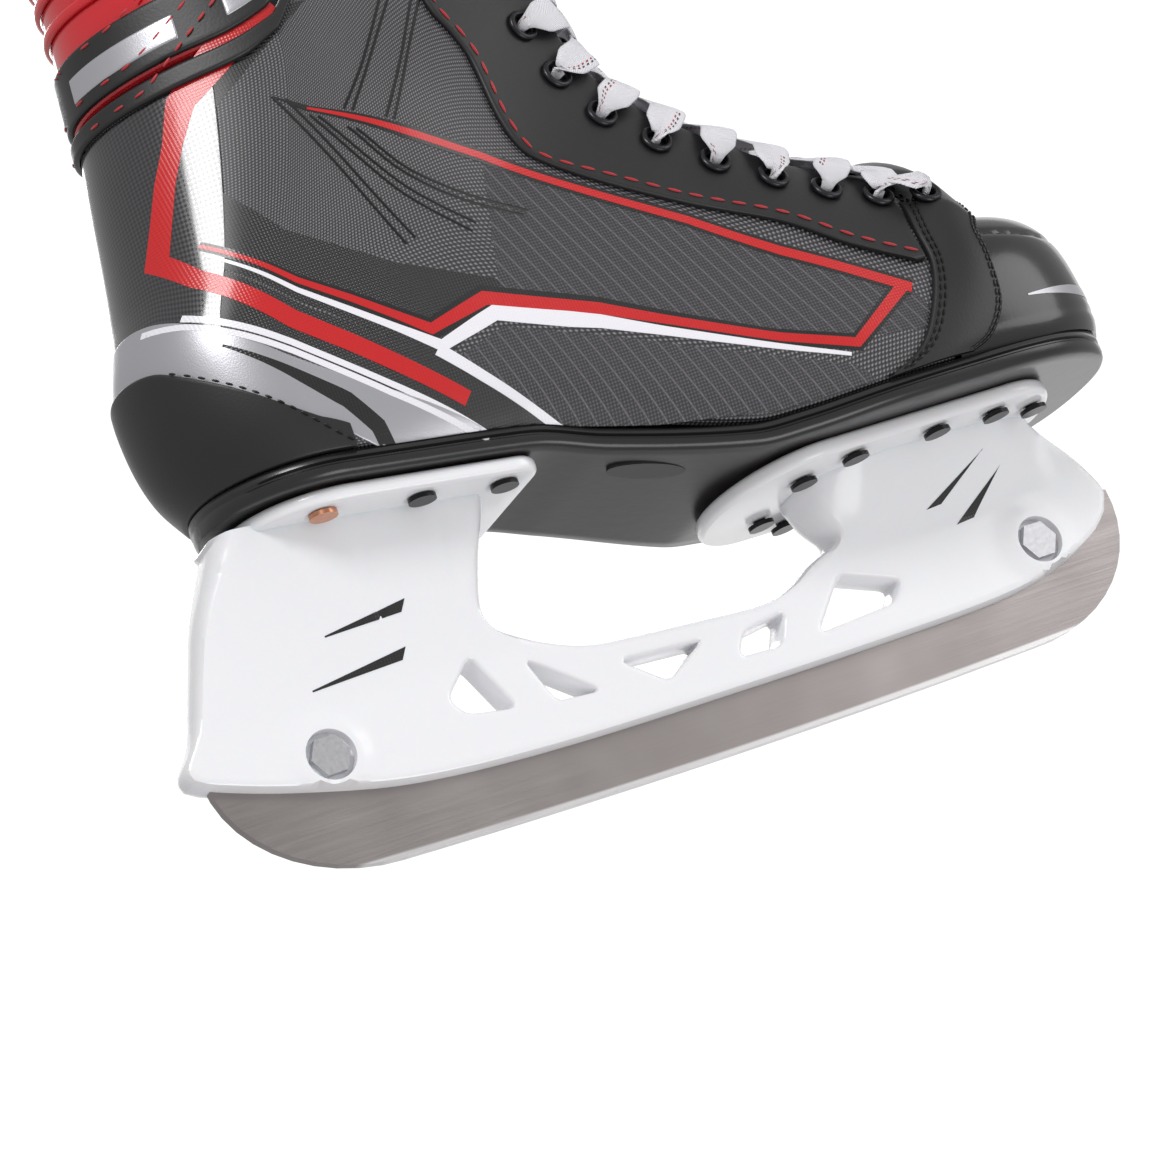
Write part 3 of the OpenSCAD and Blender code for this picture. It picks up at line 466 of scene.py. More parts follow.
def grid_uv(g):
    """Lengths along the grid's middle row and middle column, in millimetres."""
    mid_row, mid_col = g[:, g.shape[1] // 2], g[g.shape[0] // 2]
    u = np.r_[0, np.cumsum(np.linalg.norm(np.diff(mid_row, axis=0), axis=1))]
    v = np.r_[0, np.cumsum(np.linalg.norm(np.diff(mid_col, axis=0), axis=1))]
    return np.stack(np.broadcast_arrays(u[:, None], v[None, :]), -1).reshape(-1, 2)


def wall(name, outer, inner, material, uv=None, sharp=38):
    """Closed piece between two grids: their quads and a rim of quads round the border."""
    n, m = outer.shape[:2]
    s = n * m
    idx = np.arange(s).reshape(n, m)
    edge = np.r_[idx[:-1, 0], idx[-1, :-1], idx[:0:-1, -1], idx[0, :0:-1]]
    after = np.roll(edge, -1)
    rim = np.stack([edge, after, after + s, edge + s], 1)
    a, b = grid_faces(n, m), grid_faces(n, m, s)[:, ::-1]
    # the rim's sense follows the outer face's own border
    faces = np.concatenate([a, b, rim])
    uv = grid_uv(outer) if uv is None else np.asarray(uv).reshape(-1, 2)
    return mesh_object(name, np.concatenate([outer.reshape(-1, 3), inner.reshape(-1, 3)]),
                       faces, material, np.concatenate([uv, uv]), sharp)


def steps(n, length, lip):
    """Fractions from 0 to 1, closer together within lip of each end, and at each one how
    full the layer is there: a quarter circle over the lip."""
    near = np.array([0, 0.12, 0.35, 0.65]) * lip / length
    f = np.r_[near, np.linspace(lip / length, 1 - lip / length, n), 1 - near[::-1]]
    d = np.minimum(np.minimum(f, 1 - f) * length / lip, 1)
    return f, np.sqrt(1 - (1 - d) ** 2)


def rows(x, v, low, high):
    """Heights between a low and a high line; a plain number is a height above the sole line."""
    lo = curve(SOLE, x) + low if np.isscalar(low) else curve(low, x)
    return lerp(lo, curve(high, x), v)


def layer(name, u0, u1, low, high, front, o_in, o_out, n, m, material, lip=1.2, long=200, tall=90):
    """A layer of the upper between u0 and u1, from a low line to a high line, whose faces lie
    o_in and o_out outside the quarter. Its edges are rolled over a lip."""
    fu, full_u = steps(n, long, lip)
    fv, full_v = steps(m, tall, lip)
    u = lerp(u0, u1, fu)[:, None]
    v = fv[None, :]
    xf = curve(front, lerp(10, 190, v))
    a = np.abs(u)
    guess = np.where(a < 1, -118 + 32 * (1 - np.cos(a * np.pi / 2)), lerp(-86, xf, a - 1))
    h = rows(guess, v, low, high)
    full = full_u[:, None] * full_v[None, :]
    thick = (o_out - o_in) * (0.3 + 0.7 * full)
    f = curve(front, h)
    return wall(name, skin_u(u, h, o_in + thick, f), skin_u(u, h, o_in + 0 * h, f), material)


def mirrored(g):
    """The same points on the other side."""
    return g * np.array([1, -1, 1])


def place(ob, body, finish, *nodes):
    """The piece rides on a body and stands for CAD nodes; finish is not used."""
    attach(ob, body)
    if nodes:
        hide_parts(*nodes)
    return ob


def report(*obs):
    """Print the box of each piece, in millimetres."""
    for ob in obs:
        co = np.empty(len(ob.data.vertices) * 3)
        ob.data.vertices.foreach_get("co", co)
        print(ob.name, "mm:", (np.ptp(co.reshape(-1, 3), axis=0) / MM).round(1))


def normals(p, e=0.5):
    """Outward directions of the quarter at stations and heights p, from two small steps."""
    x, h = np.asarray(p, float).T
    a = skin(x + e, h) - skin(x - e, h)
    b = skin(x, h + e) - skin(x, h - e)
    n = np.cross(a, b)
    n /= np.linalg.norm(n, axis=1)[:, None]
    return n * np.where(n[:, 1] > 0, -1, 1)[:, None]


def resampled(p, step):
    """Points at an even step along a polyline, its corners kept."""
    p = np.asarray(p, float)
    parts = [p[i] + (p[i + 1] - p[i]) * np.linspace(0, 1, max(int(np.linalg.norm(p[i + 1] - p[i]) / step), 1),
                                                     endpoint=False)[:, None] for i in range(len(p) - 1)]
    return np.concatenate(parts + [p[-1:]])


def rounded_path(p, n=8):
    """Smooth path through points, by the same cubic as the curves."""
    p = np.asarray(p, float)
    t = np.r_[0, np.cumsum(np.linalg.norm(np.diff(p, axis=0), axis=1))]
    s = np.linspace(0, t[-1], n)
    return np.stack([curve(np.stack([t, c], 1), s) for c in p.T], 1)


def band_edges(p, width):
    """The two edges of a band along a polyline, mitred at its corners. Each edge point goes
    out along the corner's bisector by half the width over the cosine of half the turn."""
    p = np.asarray(p, float)
    d = np.diff(p, axis=0)
    d /= np.linalg.norm(d, axis=1)[:, None]
    a, b = np.vstack([d[:1], d]), np.vstack([d, d[-1:]])
    na, nb = np.stack([-a[:, 1], a[:, 0]], 1), np.stack([-b[:, 1], b[:, 0]], 1)
    m = na + nb
    m /= np.linalg.norm(m, axis=1)[:, None]
    reach = np.broadcast_to(width, len(p)) / 2 / np.maximum((m * na).sum(1), 0.35)
    return p + m * reach[:, None], p - m * reach[:, None]


def print_on(name, a, b, material, low=-0.3, high=0.12, side=-1, across=5, dome=0.0):
    """A printed or pressed patch ruled between two edges given as stations and heights. Its
    inner face is sunk in the quarter; dome raises its middle as a parabola."""
    t = np.linspace(0, 1, across)[None, :]
    g = a[:, None, :] + (b - a)[:, None, :] * t[..., None]
    rise = high + dome * 4 * t * (1 - t)
    x, h = g[..., 0], g[..., 1]
    return wall(name, skin(x, h, rise + 0 * x, side), skin(x, h, low, side), material,
                uv=np.stack([x, h], -1))


def joined(name, parts):
    """Several meshes of one piece made into one object."""
    keep = parts[0]
    verts, faces, uvs, at = [], [], [], 0
    for o in parts:
        me = o.data
        co = np.empty(len(me.vertices) * 3)
        me.vertices.foreach_get("co", co)
        verts.append(co.reshape(-1, 3) / MM)
        faces += [[v + at for v in f.vertices] for f in me.polygons]
        layer_uv = np.zeros((len(me.vertices), 2))
        if me.uv_layers:
            loops, uv = np.empty(len(me.loops), int), np.empty(len(me.loops) * 2)
            me.loops.foreach_get("vertex_index", loops)
            me.uv_layers[0].data.foreach_get("uv", uv)
            layer_uv[loops] = uv.reshape(-1, 2) / MM
        uvs.append(layer_uv)
        at += len(me.vertices)
    made = mesh_object(name, np.concatenate(verts), faces, keep.data.materials[0],
                       np.concatenate(uvs), flip=False)
    for o in parts:
        bpy.data.objects.remove(o)
    return made


def stitches(name, p, material, length=2.6, pitch=3.6, wide=0.7, proud=0.35, side=-1, at=None):
    """Thread that shows between needle holes: short capsules along a path of stations and
    heights, or of points and directions given by at. Each is a sphere drawn out along the seam."""
    if at is None:
        q = rounded_path(p, 400)
        run = np.r_[0, np.cumsum(np.linalg.norm(np.diff(q, axis=0), axis=1))]
        s = np.arange(pitch / 2, run[-1] - pitch / 2, pitch)
        c = np.stack([np.interp(s, run, q[:, i]) for i in (0, 1)], 1)
        e = np.stack([np.interp(s + 0.5, run, q[:, i]) for i in (0, 1)], 1)
        base, ahead, n = skin(*c.T, 0, side), skin(*e.T, 0, side), normals(c)
        n[:, 1] *= -side
        base = base + n * proud
    else:
        base, ahead, n = at
        base = base + n * proud
    d = ahead - base
    d -= n * (d * n).sum(1)[:, None]
    d /= np.linalg.norm(d, axis=1)[:, None]
    w = np.cross(d, n)
    k, j = np.linspace(0, np.pi, 5), np.linspace(0, 2 * np.pi, 6, endpoint=False)
    ball = np.array([[np.cos(a) * length / 2, np.sin(a) * np.cos(b) * wide / 2, np.sin(a) * np.sin(b) * wide / 2]
                     for a in k[1:-1] for b in j] + [[length / 2, 0, 0], [-length / 2, 0, 0]])
    f = [[r * 6 + i, r * 6 + (i + 1) % 6, r * 6 + 6 + (i + 1) % 6, r * 6 + 6 + i] for r in (0, 1) for i in range(6)]
    f += [[18, (i + 1) % 6, i] for i in range(6)] + [[19, 12 + i, 12 + (i + 1) % 6] for i in range(6)]
    pts = (base[:, None] + ball[None, :, :1] * d[:, None] + ball[None, :, 1:2] * w[:, None]
           + ball[None, :, 2:] * n[:, None])
    faces = [[v + 20 * i for v in q] for i in range(len(base)) for q in f]
    return mesh_object(name, pts.reshape(-1, 3), faces, material, sharp=180)

# %% [markdown]
# ## Holder
# Injection moulded in one piece: a thin rail that grips the steel, windows that save weight,
# and two towers that widen upward into flanges for the rivets. Seen from the side it is a
# plate whose thickness varies, so it is built as one: an outline with windows is filled with
# triangles, and every point is pushed out by half of the thickness there.
# %% Holder outline
EDGE = [[-147, 36], [-142, 33], [-121, 26], [-91, 19], [-51, 15.8], [9, 15], [60, 15.2],
        [91, 16.2], [109, 19], [126, 25], [136, 33]]
WINDOWS = [[[-64, 45], [-74, 36], [-71, 31], [-57, 28.5]], [[-50, 40], [-46, 27], [-33, 26]],
           [[-25, 32], [0, 30.5], [-14, 23]], [[12, 29], [26, 31], [21, 22.5], [8, 23]],
           [[46, 36], [63, 29.5], [58, 24], [33, 22.5]]]
BOLTS = [(-110.0, 31.5), (108.0, 28.0)]
FLANGE = 4.5
HEEL_X, HEEL_UP, HEEL_SLOPE, SEAT = -66, 24, 0.117, 0.6   # the heel flange's middle, rise, slope, clearance
REAR_TOP = [[-134, 9], [-122, 11.5], [-110, 13], [-98, 14.5], [-42, 14.5]]
FORE_TOP = [[44, 9], [60, 17], [98, 17], [122, 8]]


def softened(p, r, closed=True):
    """Corners of a polygon rounded: each corner gives way to a short arc, drawn as a
    quadratic curve between points r back along its two sides."""
    p = np.asarray(p, float)
    out = []
    for i in range(len(p)):
        a, b, c = p[i - 1], p[i], p[(i + 1) % len(p)]
        if not closed and i in (0, len(p) - 1):
            out.append([b])
            continue
        s, e = (b + (q - b) * min(r / np.linalg.norm(q - b), 0.45) for q in (a, c))
        t = np.linspace(0, 1, 6)[:, None]
        out.append((1 - t) ** 2 * s + 2 * t * (1 - t) * b + t * t * e)
    return np.concatenate(out)


def even(p, step):
    """Closed polygon resampled at an even step."""
    p = np.vstack([p, p[:1]])
    run = np.r_[0, np.cumsum(np.linalg.norm(np.diff(p, axis=0), axis=1))]
    s = np.arange(0, run[-1], run[-1] / max(int(run[-1] / step), 3))
    return np.stack([np.interp(s, run, p[:, i]) for i in (0, 1)], 1)


def under_flange(x):
    """Height of the flanges' undersides: the heel one slopes with the sole."""
    return np.where(x < 0, STACK + HEEL_UP - HEEL_SLOPE * (x - HEEL_X) - FLANGE - SEAT, STACK - FLANGE - 0.1)


def distance(q, p, closed=True):
    """Distance from points q to a polyline p: the least over its segments."""
    a = p if closed else p[:-1]
    b = np.roll(p, -1, 0) if closed else p[1:]
    d = b - a
    best = np.full(len(q), 1e9)
    for s, e in zip(a, d):
        t = np.clip(((q - s) @ e) / max(e @ e, 1e-9), 0, 1)
        best = np.minimum(best, np.linalg.norm(q - s - t[:, None] * e, axis=1))
    return best


def inside(q, p):
    """Even-odd test of points q in polygon p."""
    x, y = q.T
    hit = np.zeros(len(q), bool)
    for a, b in zip(p, np.roll(p, -1, 0)):
        if a[1] != b[1]:
            cross = (a[1] > y) != (b[1] > y)
            hit ^= cross & (x < (b[0] - a[0]) * (y - a[1]) / (b[1] - a[1]) + a[0])
    return hit


xs = np.arange(-146, 135.5, 3.0)
low_edge = np.stack([xs, curve(EDGE, xs)], 1)
fore = softened([[133, 31], [136, 36], [131.5, 46], [124, 56], [121, 60]], 6, closed=False)
fore_rear = softened([[44, 60], [46, 52], [51, 45], [40, 41.5], [32, 37], [22, 34.5], [-14, 37], [-32, 38.5],
                      [-46, 44.5], [-57, 52], [-52, 66], [-42, 86]], 7, closed=False)
tail = softened([[-118, 92], [-128, 76], [-136, 58], [-141, 46], [-147.5, 39], [-146, 35]], 5, closed=False)
sides = [np.vstack([low_edge, fore, [[120, under_flange(120.0) + 2]]]),
         np.vstack([[[45, under_flange(45.0) + 2]], fore_rear, [[-41.5, under_flange(-41.5) + 2]]]),
         np.vstack([[[-119, under_flange(-119.0) + 2]], tail])]
outline = even(np.vstack(sides), 1.1)
holes = [even(softened(w, 2.4), 1.0) for w in WINDOWS]
open_edge = [np.vstack([sides[2], sides[0]]), sides[1]]
print("holder outline, mm:", np.ptp(outline, axis=0).round(1), "windows:", len(holes))

# %% [markdown]
# A mould gives the plate draft, an ear round each bolt and soft edges. One formula for half
# of the thickness does all of it, so no joint between pieces can show.
# %% Holder thickness


def half_thickness(q):
    """Half thickness at points (x, z): the rail's 5.5 mm, widening up each tower to its
    width under the flange, faint creases, an ear and a recess at each bolt, and a quarter
    circle of rounding towards every free edge."""
    x, z = q.T
    top = np.where(x < 0, curve(REAR_TOP, x), curve(FORE_TOP, x))
    base = np.where(x < 0, 42.0, 40.0)
    v = np.clip((z - base) / (under_flange(x) - base), 0, 1)
    tower = ((x > -146) & (x < -36)) | ((x > 38) & (x < 136))
    t = 5.5 + np.where(tower, (top - 5.5) * v**1.35, 0)
    crease = sum(np.exp(-((x - c - 0.12 * (z - 60)) / 0.7) ** 2) for c in (-104, -84, -62))
    t = t - 0.45 * crease * np.clip((v - 0.15) * 3, 0, 1) * (x < 0)
    edge = np.minimum(distance(q, open_edge[0], False), distance(q, open_edge[1], False))
    r = np.clip(1.2 + 0.5 * (t - 5.5), 1.2, 7.5)
    w = np.min([distance(q, h) for h in holes], axis=0)
    shape = 1 - (1 - np.clip(edge / r, 0, 1)) ** 2
    rim = 1 - (1 - np.clip(w / 1.1, 0, 1)) ** 2
    t = t * (0.25 + 0.75 * np.sqrt(shape)) - 1.1 * (1 - np.sqrt(rim))
    for bx, bz in BOLTS:
        d = np.hypot(x - bx, z - bz)
        t = t + 0.8 * np.exp(-(np.maximum(d - 7.5, 0) / 3) ** 2)
        t = np.where(d < 6.62, 3.5, t)
    return np.maximum(t, 1.7)


def moved_in(loop, offset):
    """Copy of a closed loop moved inward by an offset."""
    d = np.roll(loop, -1, 0) - np.roll(loop, 1, 0)
    n = np.stack([-d[:, 1], d[:, 0]], 1) / np.linalg.norm(d, axis=1)[:, None]
    return loop + n * offset


def area(p):
    """Signed area of a polygon, by the shoelace sum."""
    return (p[:, 0] * np.roll(p[:, 1], -1) - np.roll(p[:, 0], -1) * p[:, 1]).sum() / 2


def near_bolt(c):
    """Distance from each point to the nearer bolt's centre."""
    return np.min([np.hypot(*(c - np.array(b)).T) for b in BOLTS], axis=0)


if area(outline) < 0:
    outline = outline[::-1]
holes = [h[::-1] if area(h) > 0 else h for h in holes]
loops = [outline] + holes
every = np.vstack(loops)


def deep(q):
    """Distance from points to the nearest edge of the plate."""
    return np.min([distance(q, p) for p in loops], axis=0)


def within(q):
    """Whether points lie in the outline and outside every window."""
    ok = inside(q, outline)
    for h in holes:
        ok &= ~inside(q, h)
    return ok


extra = []
for o in (0.25, 0.7, 1.4, 2.6):
    c = np.vstack([moved_in(p, o) for p in loops])
    extra.append(c[within(c) & (deep(c) > 0.93 * o)])
turn = np.linspace(0, 2 * np.pi, 48, endpoint=False)
round_bolts = np.vstack([np.array(b) + r * np.stack([np.cos(turn), np.sin(turn)], 1)
                         for b in BOLTS for r in (5.2, 6.55, 6.7, 7.6, 9.0)])
gx, gz = np.meshgrid(np.arange(-148, 138, 2.3), np.arange(14, 98, 2.0))
gx = gx + np.where((np.arange(gx.shape[0]) % 2 == 1)[:, None], 1.15, 0)
field = np.stack([gx.ravel(), gz.ravel()], 1)
field = field[within(field)]
field = field[deep(field) > 3.2]
clear = near_bolt(field)
field = field[(clear < 4.2) | (clear > 10.2)]
keep_bolts = round_bolts[within(round_bolts) & (deep(round_bolts) > 0.4)]
extra = [c[near_bolt(c) > 9.6] for c in extra]
points = np.vstack([every, *extra, keep_bolts, field])
edges, at = [], 0
for p in loops:
    n = len(p)
    edges += [(at + i, at + (i + 1) % n) for i in range(n)]
    at += n
flat = delaunay_2d_cdt([Vector(p) for p in points], edges, [], 0, 1e-4)
verts = np.array([v[:] for v in flat[0]])
tris = np.array([f for f in flat[2] if len(f) == 3])
tris = tris[within(verts[tris].mean(1))]
used, inverse = np.unique(tris, return_inverse=True)
verts, tris = verts[used], inverse.reshape(tris.shape)
t = half_thickness(verts)
n = len(verts)
sides3 = np.vstack([np.stack([verts[:, 0], s * t, verts[:, 1]], 1) for s in (-1, 1)])
pairs = np.vstack([tris[:, [0, 1]], tris[:, [1, 2]], tris[:, [2, 0]]])
key = np.sort(pairs, axis=1)
_, first, count = np.unique(key, axis=0, return_index=True, return_counts=True)
border = pairs[first[count == 1]]
faces = [*tris.tolist(), *(tris[:, ::-1] + n).tolist(),
         *np.stack([border[:, 1], border[:, 0], border[:, 0] + n, border[:, 1] + n], 1).tolist()]
plate = mesh_object("holder_plate", sides3, faces, nylon_mat, sharp=50)
print("holder plate:", len(faces), "faces")

# %% [markdown]
# Each flange is a flat plate with rounded edges that meets the sole; the rear one slopes.
# %% Flanges


def slab(name, loop, z0, z1, r, material, tilt=0.0, at=(0, 0, 0)):
    """Flat plate round a closed loop, its two edges rounded with radius r: rings that step
    in and up a quarter circle, closed by one face above and one below."""
    d = np.roll(loop, -1, 0) - np.roll(loop, 1, 0)
    nrm = np.stack([d[:, 1], -d[:, 0]], 1) / np.linalg.norm(d, axis=1)[:, None]
    a = np.linspace(0, np.pi / 2, 5)
    profile = [(r * (1 - np.sin(k)), z0 + r * (1 - np.cos(k))) for k in a] + \
              [(r * (1 - np.cos(k)), z1 - r + r * np.sin(k)) for k in a]
    rings = [np.column_stack([loop - nrm * i, np.full(len(loop), z)]) for i, z in profile]
    pts = np.vstack(rings)
    c, s = math.cos(tilt), math.sin(tilt)
    pts = pts @ np.array([[c, 0, -s], [0, 1, 0], [s, 0, c]]) + np.array(at)
    m = len(loop)
    f = [[k * m + i, k * m + (i + 1) % m, (k + 1) * m + (i + 1) % m, (k + 1) * m + i]
         for k in range(len(rings) - 1) for i in range(m)]
    f += [list(range(m))[::-1], [(len(rings) - 1) * m + i for i in range(m)]]
    return mesh_object(name, pts, f, material, flip=False, sharp=50)


def arc(cx, cy, rx, ry, a0, a1, n):
    """Points of an elliptical arc, angles in degrees."""
    a = np.radians(np.linspace(a0, a1, n))
    return np.stack([cx + rx * np.cos(a), cy + ry * np.sin(a)], 1)


heel_plan = even(np.vstack([arc(-85, 0, 28, 27, 90, 270, 40), arc(-40, -20, 7, 7, -90, 0, 10),
                            arc(-40, 20, 7, 7, 0, 90, 10)]), 1.5)
sole_plan = even(np.vstack([arc(44, 0, 24, 31, 90, 270, 40), arc(104, 0, 22, 32, -90, 90, 40)]), 1.5)
heel_flange = slab("heel_flange", heel_plan - [HEEL_X, 0], 0, FLANGE, 1.6, nylon_mat,
                   math.atan(HEEL_SLOPE), (HEEL_X, 0, STACK + HEEL_UP - FLANGE - SEAT))
sole_flange = slab("sole_flange", sole_plan, STACK - FLANGE - 0.1, STACK - 0.1, 1.6, nylon_mat)
holder = place(joined("holder", [plate, heel_flange, sole_flange]), "boot", "holder_plastic", "blade_holder")
report(holder)

# %% [markdown]
# ## The boot's shells
# Quarters, overlays and soft layers, each the last's shape grown by its own distance. Their
# cut edges are rolled over by about a millimetre, as skived and pressed edges are.
# %% Layers of the upper
GAP, OVERLAY, QUARTER = 0.3, 1.5, 3.0
for side, name in ((-1, "right"), (1, "left")):
    q = layer("quarter_skin_" + name, 0.015 * side, 2.0 * side, WELT, COLLAR, FRONT, -QUARTER, 0,
              150, 80, quarter_mat)
    place(q, "boot", "quarter_weave", "quarter_" + name)
    pad = layer("ankle_padding_" + name, 1.1 * side, 1.9 * side, [[-120, 88], [0, 80]],
                [[-120, 134], [-50, 146], [0, 128]], [[0, -18], [240, -18]], -14.1, -9.1,
                30, 24, foam_mat, 4, 70, 60)
    place(pad, "boot", "foam", "ankle_pad_" + name)
patch = layer("heel_patch_skin", -2, 2, WELT, PATCH_TOP, [[0, -82], [240, -82]], GAP, GAP + OVERLAY, 110, 30,
              leather_mat, 1.3, 150, 60)
place(patch, "boot", "black_leather", "heel_patch")
counter = layer("heel_counter_skin", -2, 2, WELT, [[-125, 80], [-45, 62]], [[0, -45], [240, -45]], -4.5, -3.3,
                80, 20, counter_mat, 0.8, 200, 60)
place(counter, "boot", "counter_board", "heel_counter")
lining = layer("lining_skin", -2, 2, 10.1, [[p, q - 3] for p, q in COLLAR], [[p, q - 38] for p, q in FRONT],
               -8.8, -4.8, 120, 50, liner_mat, 3.5, 320, 130)
place(lining, "boot", "lining_fabric", "lining")
report(patch, counter, lining)

# %% [markdown]
# Eyestays are die-cut leather sewn over the quarter. One side is made and then mirrored.
# %% Eyestays: the overlay that carries the eyelets


def stay_grid(o, fu, fv):
    """Face of an eyestay, ruled across between its two edge curves, o above the quarter."""
    h = lerp(36, 189, fv)[None, :]
    x0 = curve(EYESTAY, h)
    x1 = np.minimum(curve(FRONT, h) + 0.6, curve(STRIP_BACK, h) - 1.2)
    x = lerp(x0, x1, fu[:, None])
    return skin(x, h + 0 * x, o)


fu, full_u = steps(14, 32, 1.2)
fv, full_v = steps(120, 155, 1.2)
full = full_u[:, None] * full_v[None, :]
stay_out = stay_grid(GAP + OVERLAY * (0.3 + 0.7 * full), fu, fv)
stay_in = stay_grid(GAP + 0 * full, fu, fv)
stay_uv = np.stack(np.broadcast_arrays(fu[:, None] * 30, fv[None, :] * 155), -1)
for name, faces in (("right", (stay_out, stay_in)), ("left", (mirrored(stay_out), mirrored(stay_in)))):
    stay = wall("eyestay_skin_" + name, *faces, leather_mat, stay_uv)
    place(stay, "boot", "black_leather", "eyestay_" + name)
    report(stay)

# %% [markdown]
# The cap is moulded plastic. A superellipsoid gives its squared round with two powers.
# %% Toe cap: a superellipsoid, squarer in section than in plan
TOE_X, TOE_A, TOE_H, TOE_C = 98.0, 49.0, 14.0, 38.0   # start, length, widest line, rise above it
TOE_W, IN_PLAN, IN_SECTION = 44.5, 2.6, 3.5           # half width; squareness powers
TOE_REAR = [[0, 84], [10, 86], [20, 91], [30, 96], [40, 104], [60, 108]]


def toe(p, q, o):
    """Point at angle p from the toe's tip and angle q above its widest line: cosines and
    sines raised to powers below one, which squares the round."""
    r = np.maximum(np.cos(q), 0) ** (2 / IN_SECTION)
    cp, sp = np.maximum(np.cos(p), 0), np.abs(np.sin(p))
    down = STACK + TOE_H + np.sin(np.minimum(q, 0)) * 7.4 / math.sin(math.radians(20))
    up = STACK + TOE_H + (TOE_C + o) * np.maximum(np.sin(q), 0) ** (2 / IN_SECTION)
    x = TOE_X + (TOE_A + o) * r * cp ** (2 / IN_PLAN)
    y = -(TOE_W + o) * r * sp ** (2 / IN_PLAN) * np.sign(p)
    return np.stack(np.broadcast_arrays(x, y, np.where(q < 0, down, up)), -1)


ang = np.radians(np.linspace(90, -90, 97))
q = np.radians(np.r_[np.linspace(-20, 0, 8), np.linspace(3, 87.5, 44)])


def toe_grid(o):
    """The cap o above its face, drawn straight back at both sides to its rear edge."""
    mid = toe(ang[:, None], q[None, :], o)
    ends = []
    for g in (mid[0], mid[-1]):
        h = g[:, 2] - STACK
        e = np.stack([curve(TOE_REAR, h), g[:, 1], g[:, 2]], -1)
        ends.append(g[None] + (e - g)[None] * np.linspace(0, 1, 14)[1:, None, None])
    return np.concatenate([ends[0][::-1], mid, ends[1]])


base = toe_grid(0)
pa = np.degrees(np.arctan2(-base[..., 1], base[..., 0] - TOE_X))
hz = base[..., 2] - STACK
# moulded creases: two long arcs round the toe, each a shallow bell-shaped groove
groove = 0.7 * np.exp(-((hz - 33.5 - 0.0012 * pa**2) / 0.8) ** 2) + 0.35 * np.exp(-((hz - 12.5) / 0.7) ** 2)
outer = base + (toe_grid(-1) - base) * groove[..., None]
cap = place(wall("toe_cap_skin", outer, toe_grid(-2.5), toe_mat), "boot", "toe_plastic", "toe_cap")
report(cap)

# %% [markdown]
# This leather band covers the joint between quarters and cap, so it is ruled between them.
# %% Toe strip: the stitched vamp band behind the cap
REAR = [[0, 61, 6.6], [0.12, 73, 12], [0.25, 82, 22], [0.38, 89, 34], [0.5, 91.5, 45], [0.62, 95, 56]]
FORE = [[0, 88, 6.8], [0.12, 96, 10], [0.25, 103, 18], [0.38, 106, 30], [0.5, 108, 39], [0.62, 111, 43]]


def col(p, c):
    """Knots of one column c of a table against its first column."""
    return [[k[0], k[c]] for k in p]


def quarter_top(x, y):
    """Height of the quarter's roof: the ridge less a circle's drop across the width."""
    l, w = curve(ARCH, x), curve(HALF_WIDTH, x)
    return curve(RIDGE, x) - l * (1 - np.sqrt(1 - np.minimum(np.abs(y) / w, 0.98) ** 2)) / 0.82


def cap_half(x, h):
    """The cap's half width at a station and height, by the superellipse solved for width."""
    z, f = np.maximum(h - TOE_H, 0) / TOE_C, np.maximum(x - TOE_X, 0) / TOE_A
    full = np.maximum(1 - z**IN_SECTION, 0) ** (IN_PLAN / IN_SECTION)
    return TOE_W * np.maximum(full - f**IN_PLAN, 1e-4) ** (1 / IN_PLAN)


def cap_top(x, y):
    """The cap's height over a plan point, by the superellipse solved for height."""
    f = ((np.maximum(x - TOE_X, 0) / TOE_A) ** IN_PLAN + (np.abs(y) / TOE_W) ** IN_PLAN) ** (1 / IN_PLAN)
    return TOE_H + TOE_C * np.maximum(1 - f**IN_SECTION, 1e-4) ** (1 / IN_SECTION)


def strip(t, b, o):
    """Point of the strip: t runs from the welt (0) to the top (1), b from its rear edge (0)
    to its front (1). It is ruled between the two edges and crowned by a half sine."""
    t, b = np.broadcast_arrays(t, b)
    ts = 0.62
    s = np.clip((t - ts) / (1 - ts), 0, 1)
    o = o + GAP
    ends = []
    for knots, x_top, wide, top in ((REAR, 97.0, half, quarter_top), (FORE, 125.0, cap_half, cap_top)):
        x, h = curve(col(knots, 1), t), curve(col(knots, 2), t)
        low = np.stack([x, -(wide(x, h) + o), STACK + h], -1)
        xs_, hs = float(curve(col(knots, 1), ts)), float(curve(col(knots, 2), ts))
        x = lerp(xs_, x_top, s if x_top < 100 else np.sin(s * np.pi / 2))
        y = float(wide(np.array(xs_), np.array(hs))) * (1 - s)
        if x_top < 100:
            z = lerp(hs, top(x, y), np.minimum(3 * s, 1)) + o * s
        else:
            z = top(x, y) + (o + 0.6) * s
        high = np.stack([x, -(y + o * (1 - s)), STACK + z], -1)
        ends.append(np.where((t <= ts)[..., None], low, high))
    k = np.maximum(t - 0.3, 0) / 0.7
    c = (1 + 13 * k * k) * np.sin(np.pi * b**1.25)
    d = np.stack([0.1 + 0 * t, -(1.15 - t), 0.2 + t], -1)
    d /= np.linalg.norm(d, axis=-1)[..., None]
    return ends[0] + (ends[1] - ends[0]) * b[..., None] + c[..., None] * d


def strip_grid(o, tt, bb):
    """The whole strip, up one side (tt to 1) and down the other (tt to 2)."""
    g = strip(np.minimum(tt, 2 - tt)[:, None], bb[None, :], o)
    return g * np.where(tt > 1, -1, 1)[:, None, None] ** np.array([0, 1, 0])


bb, full_b = steps(16, 22, 1.2)
tt = np.linspace(0, 2, 121)
vamp_out = strip_grid((OVERLAY * (0.3 + 0.7 * full_b))[None, :], tt, bb)
vamp = wall("toe_strip_skin", vamp_out, strip_grid(np.zeros((1, len(bb))), tt, bb), leather_mat)
place(vamp, "boot", "black_leather", "toe_strip")
report(vamp)

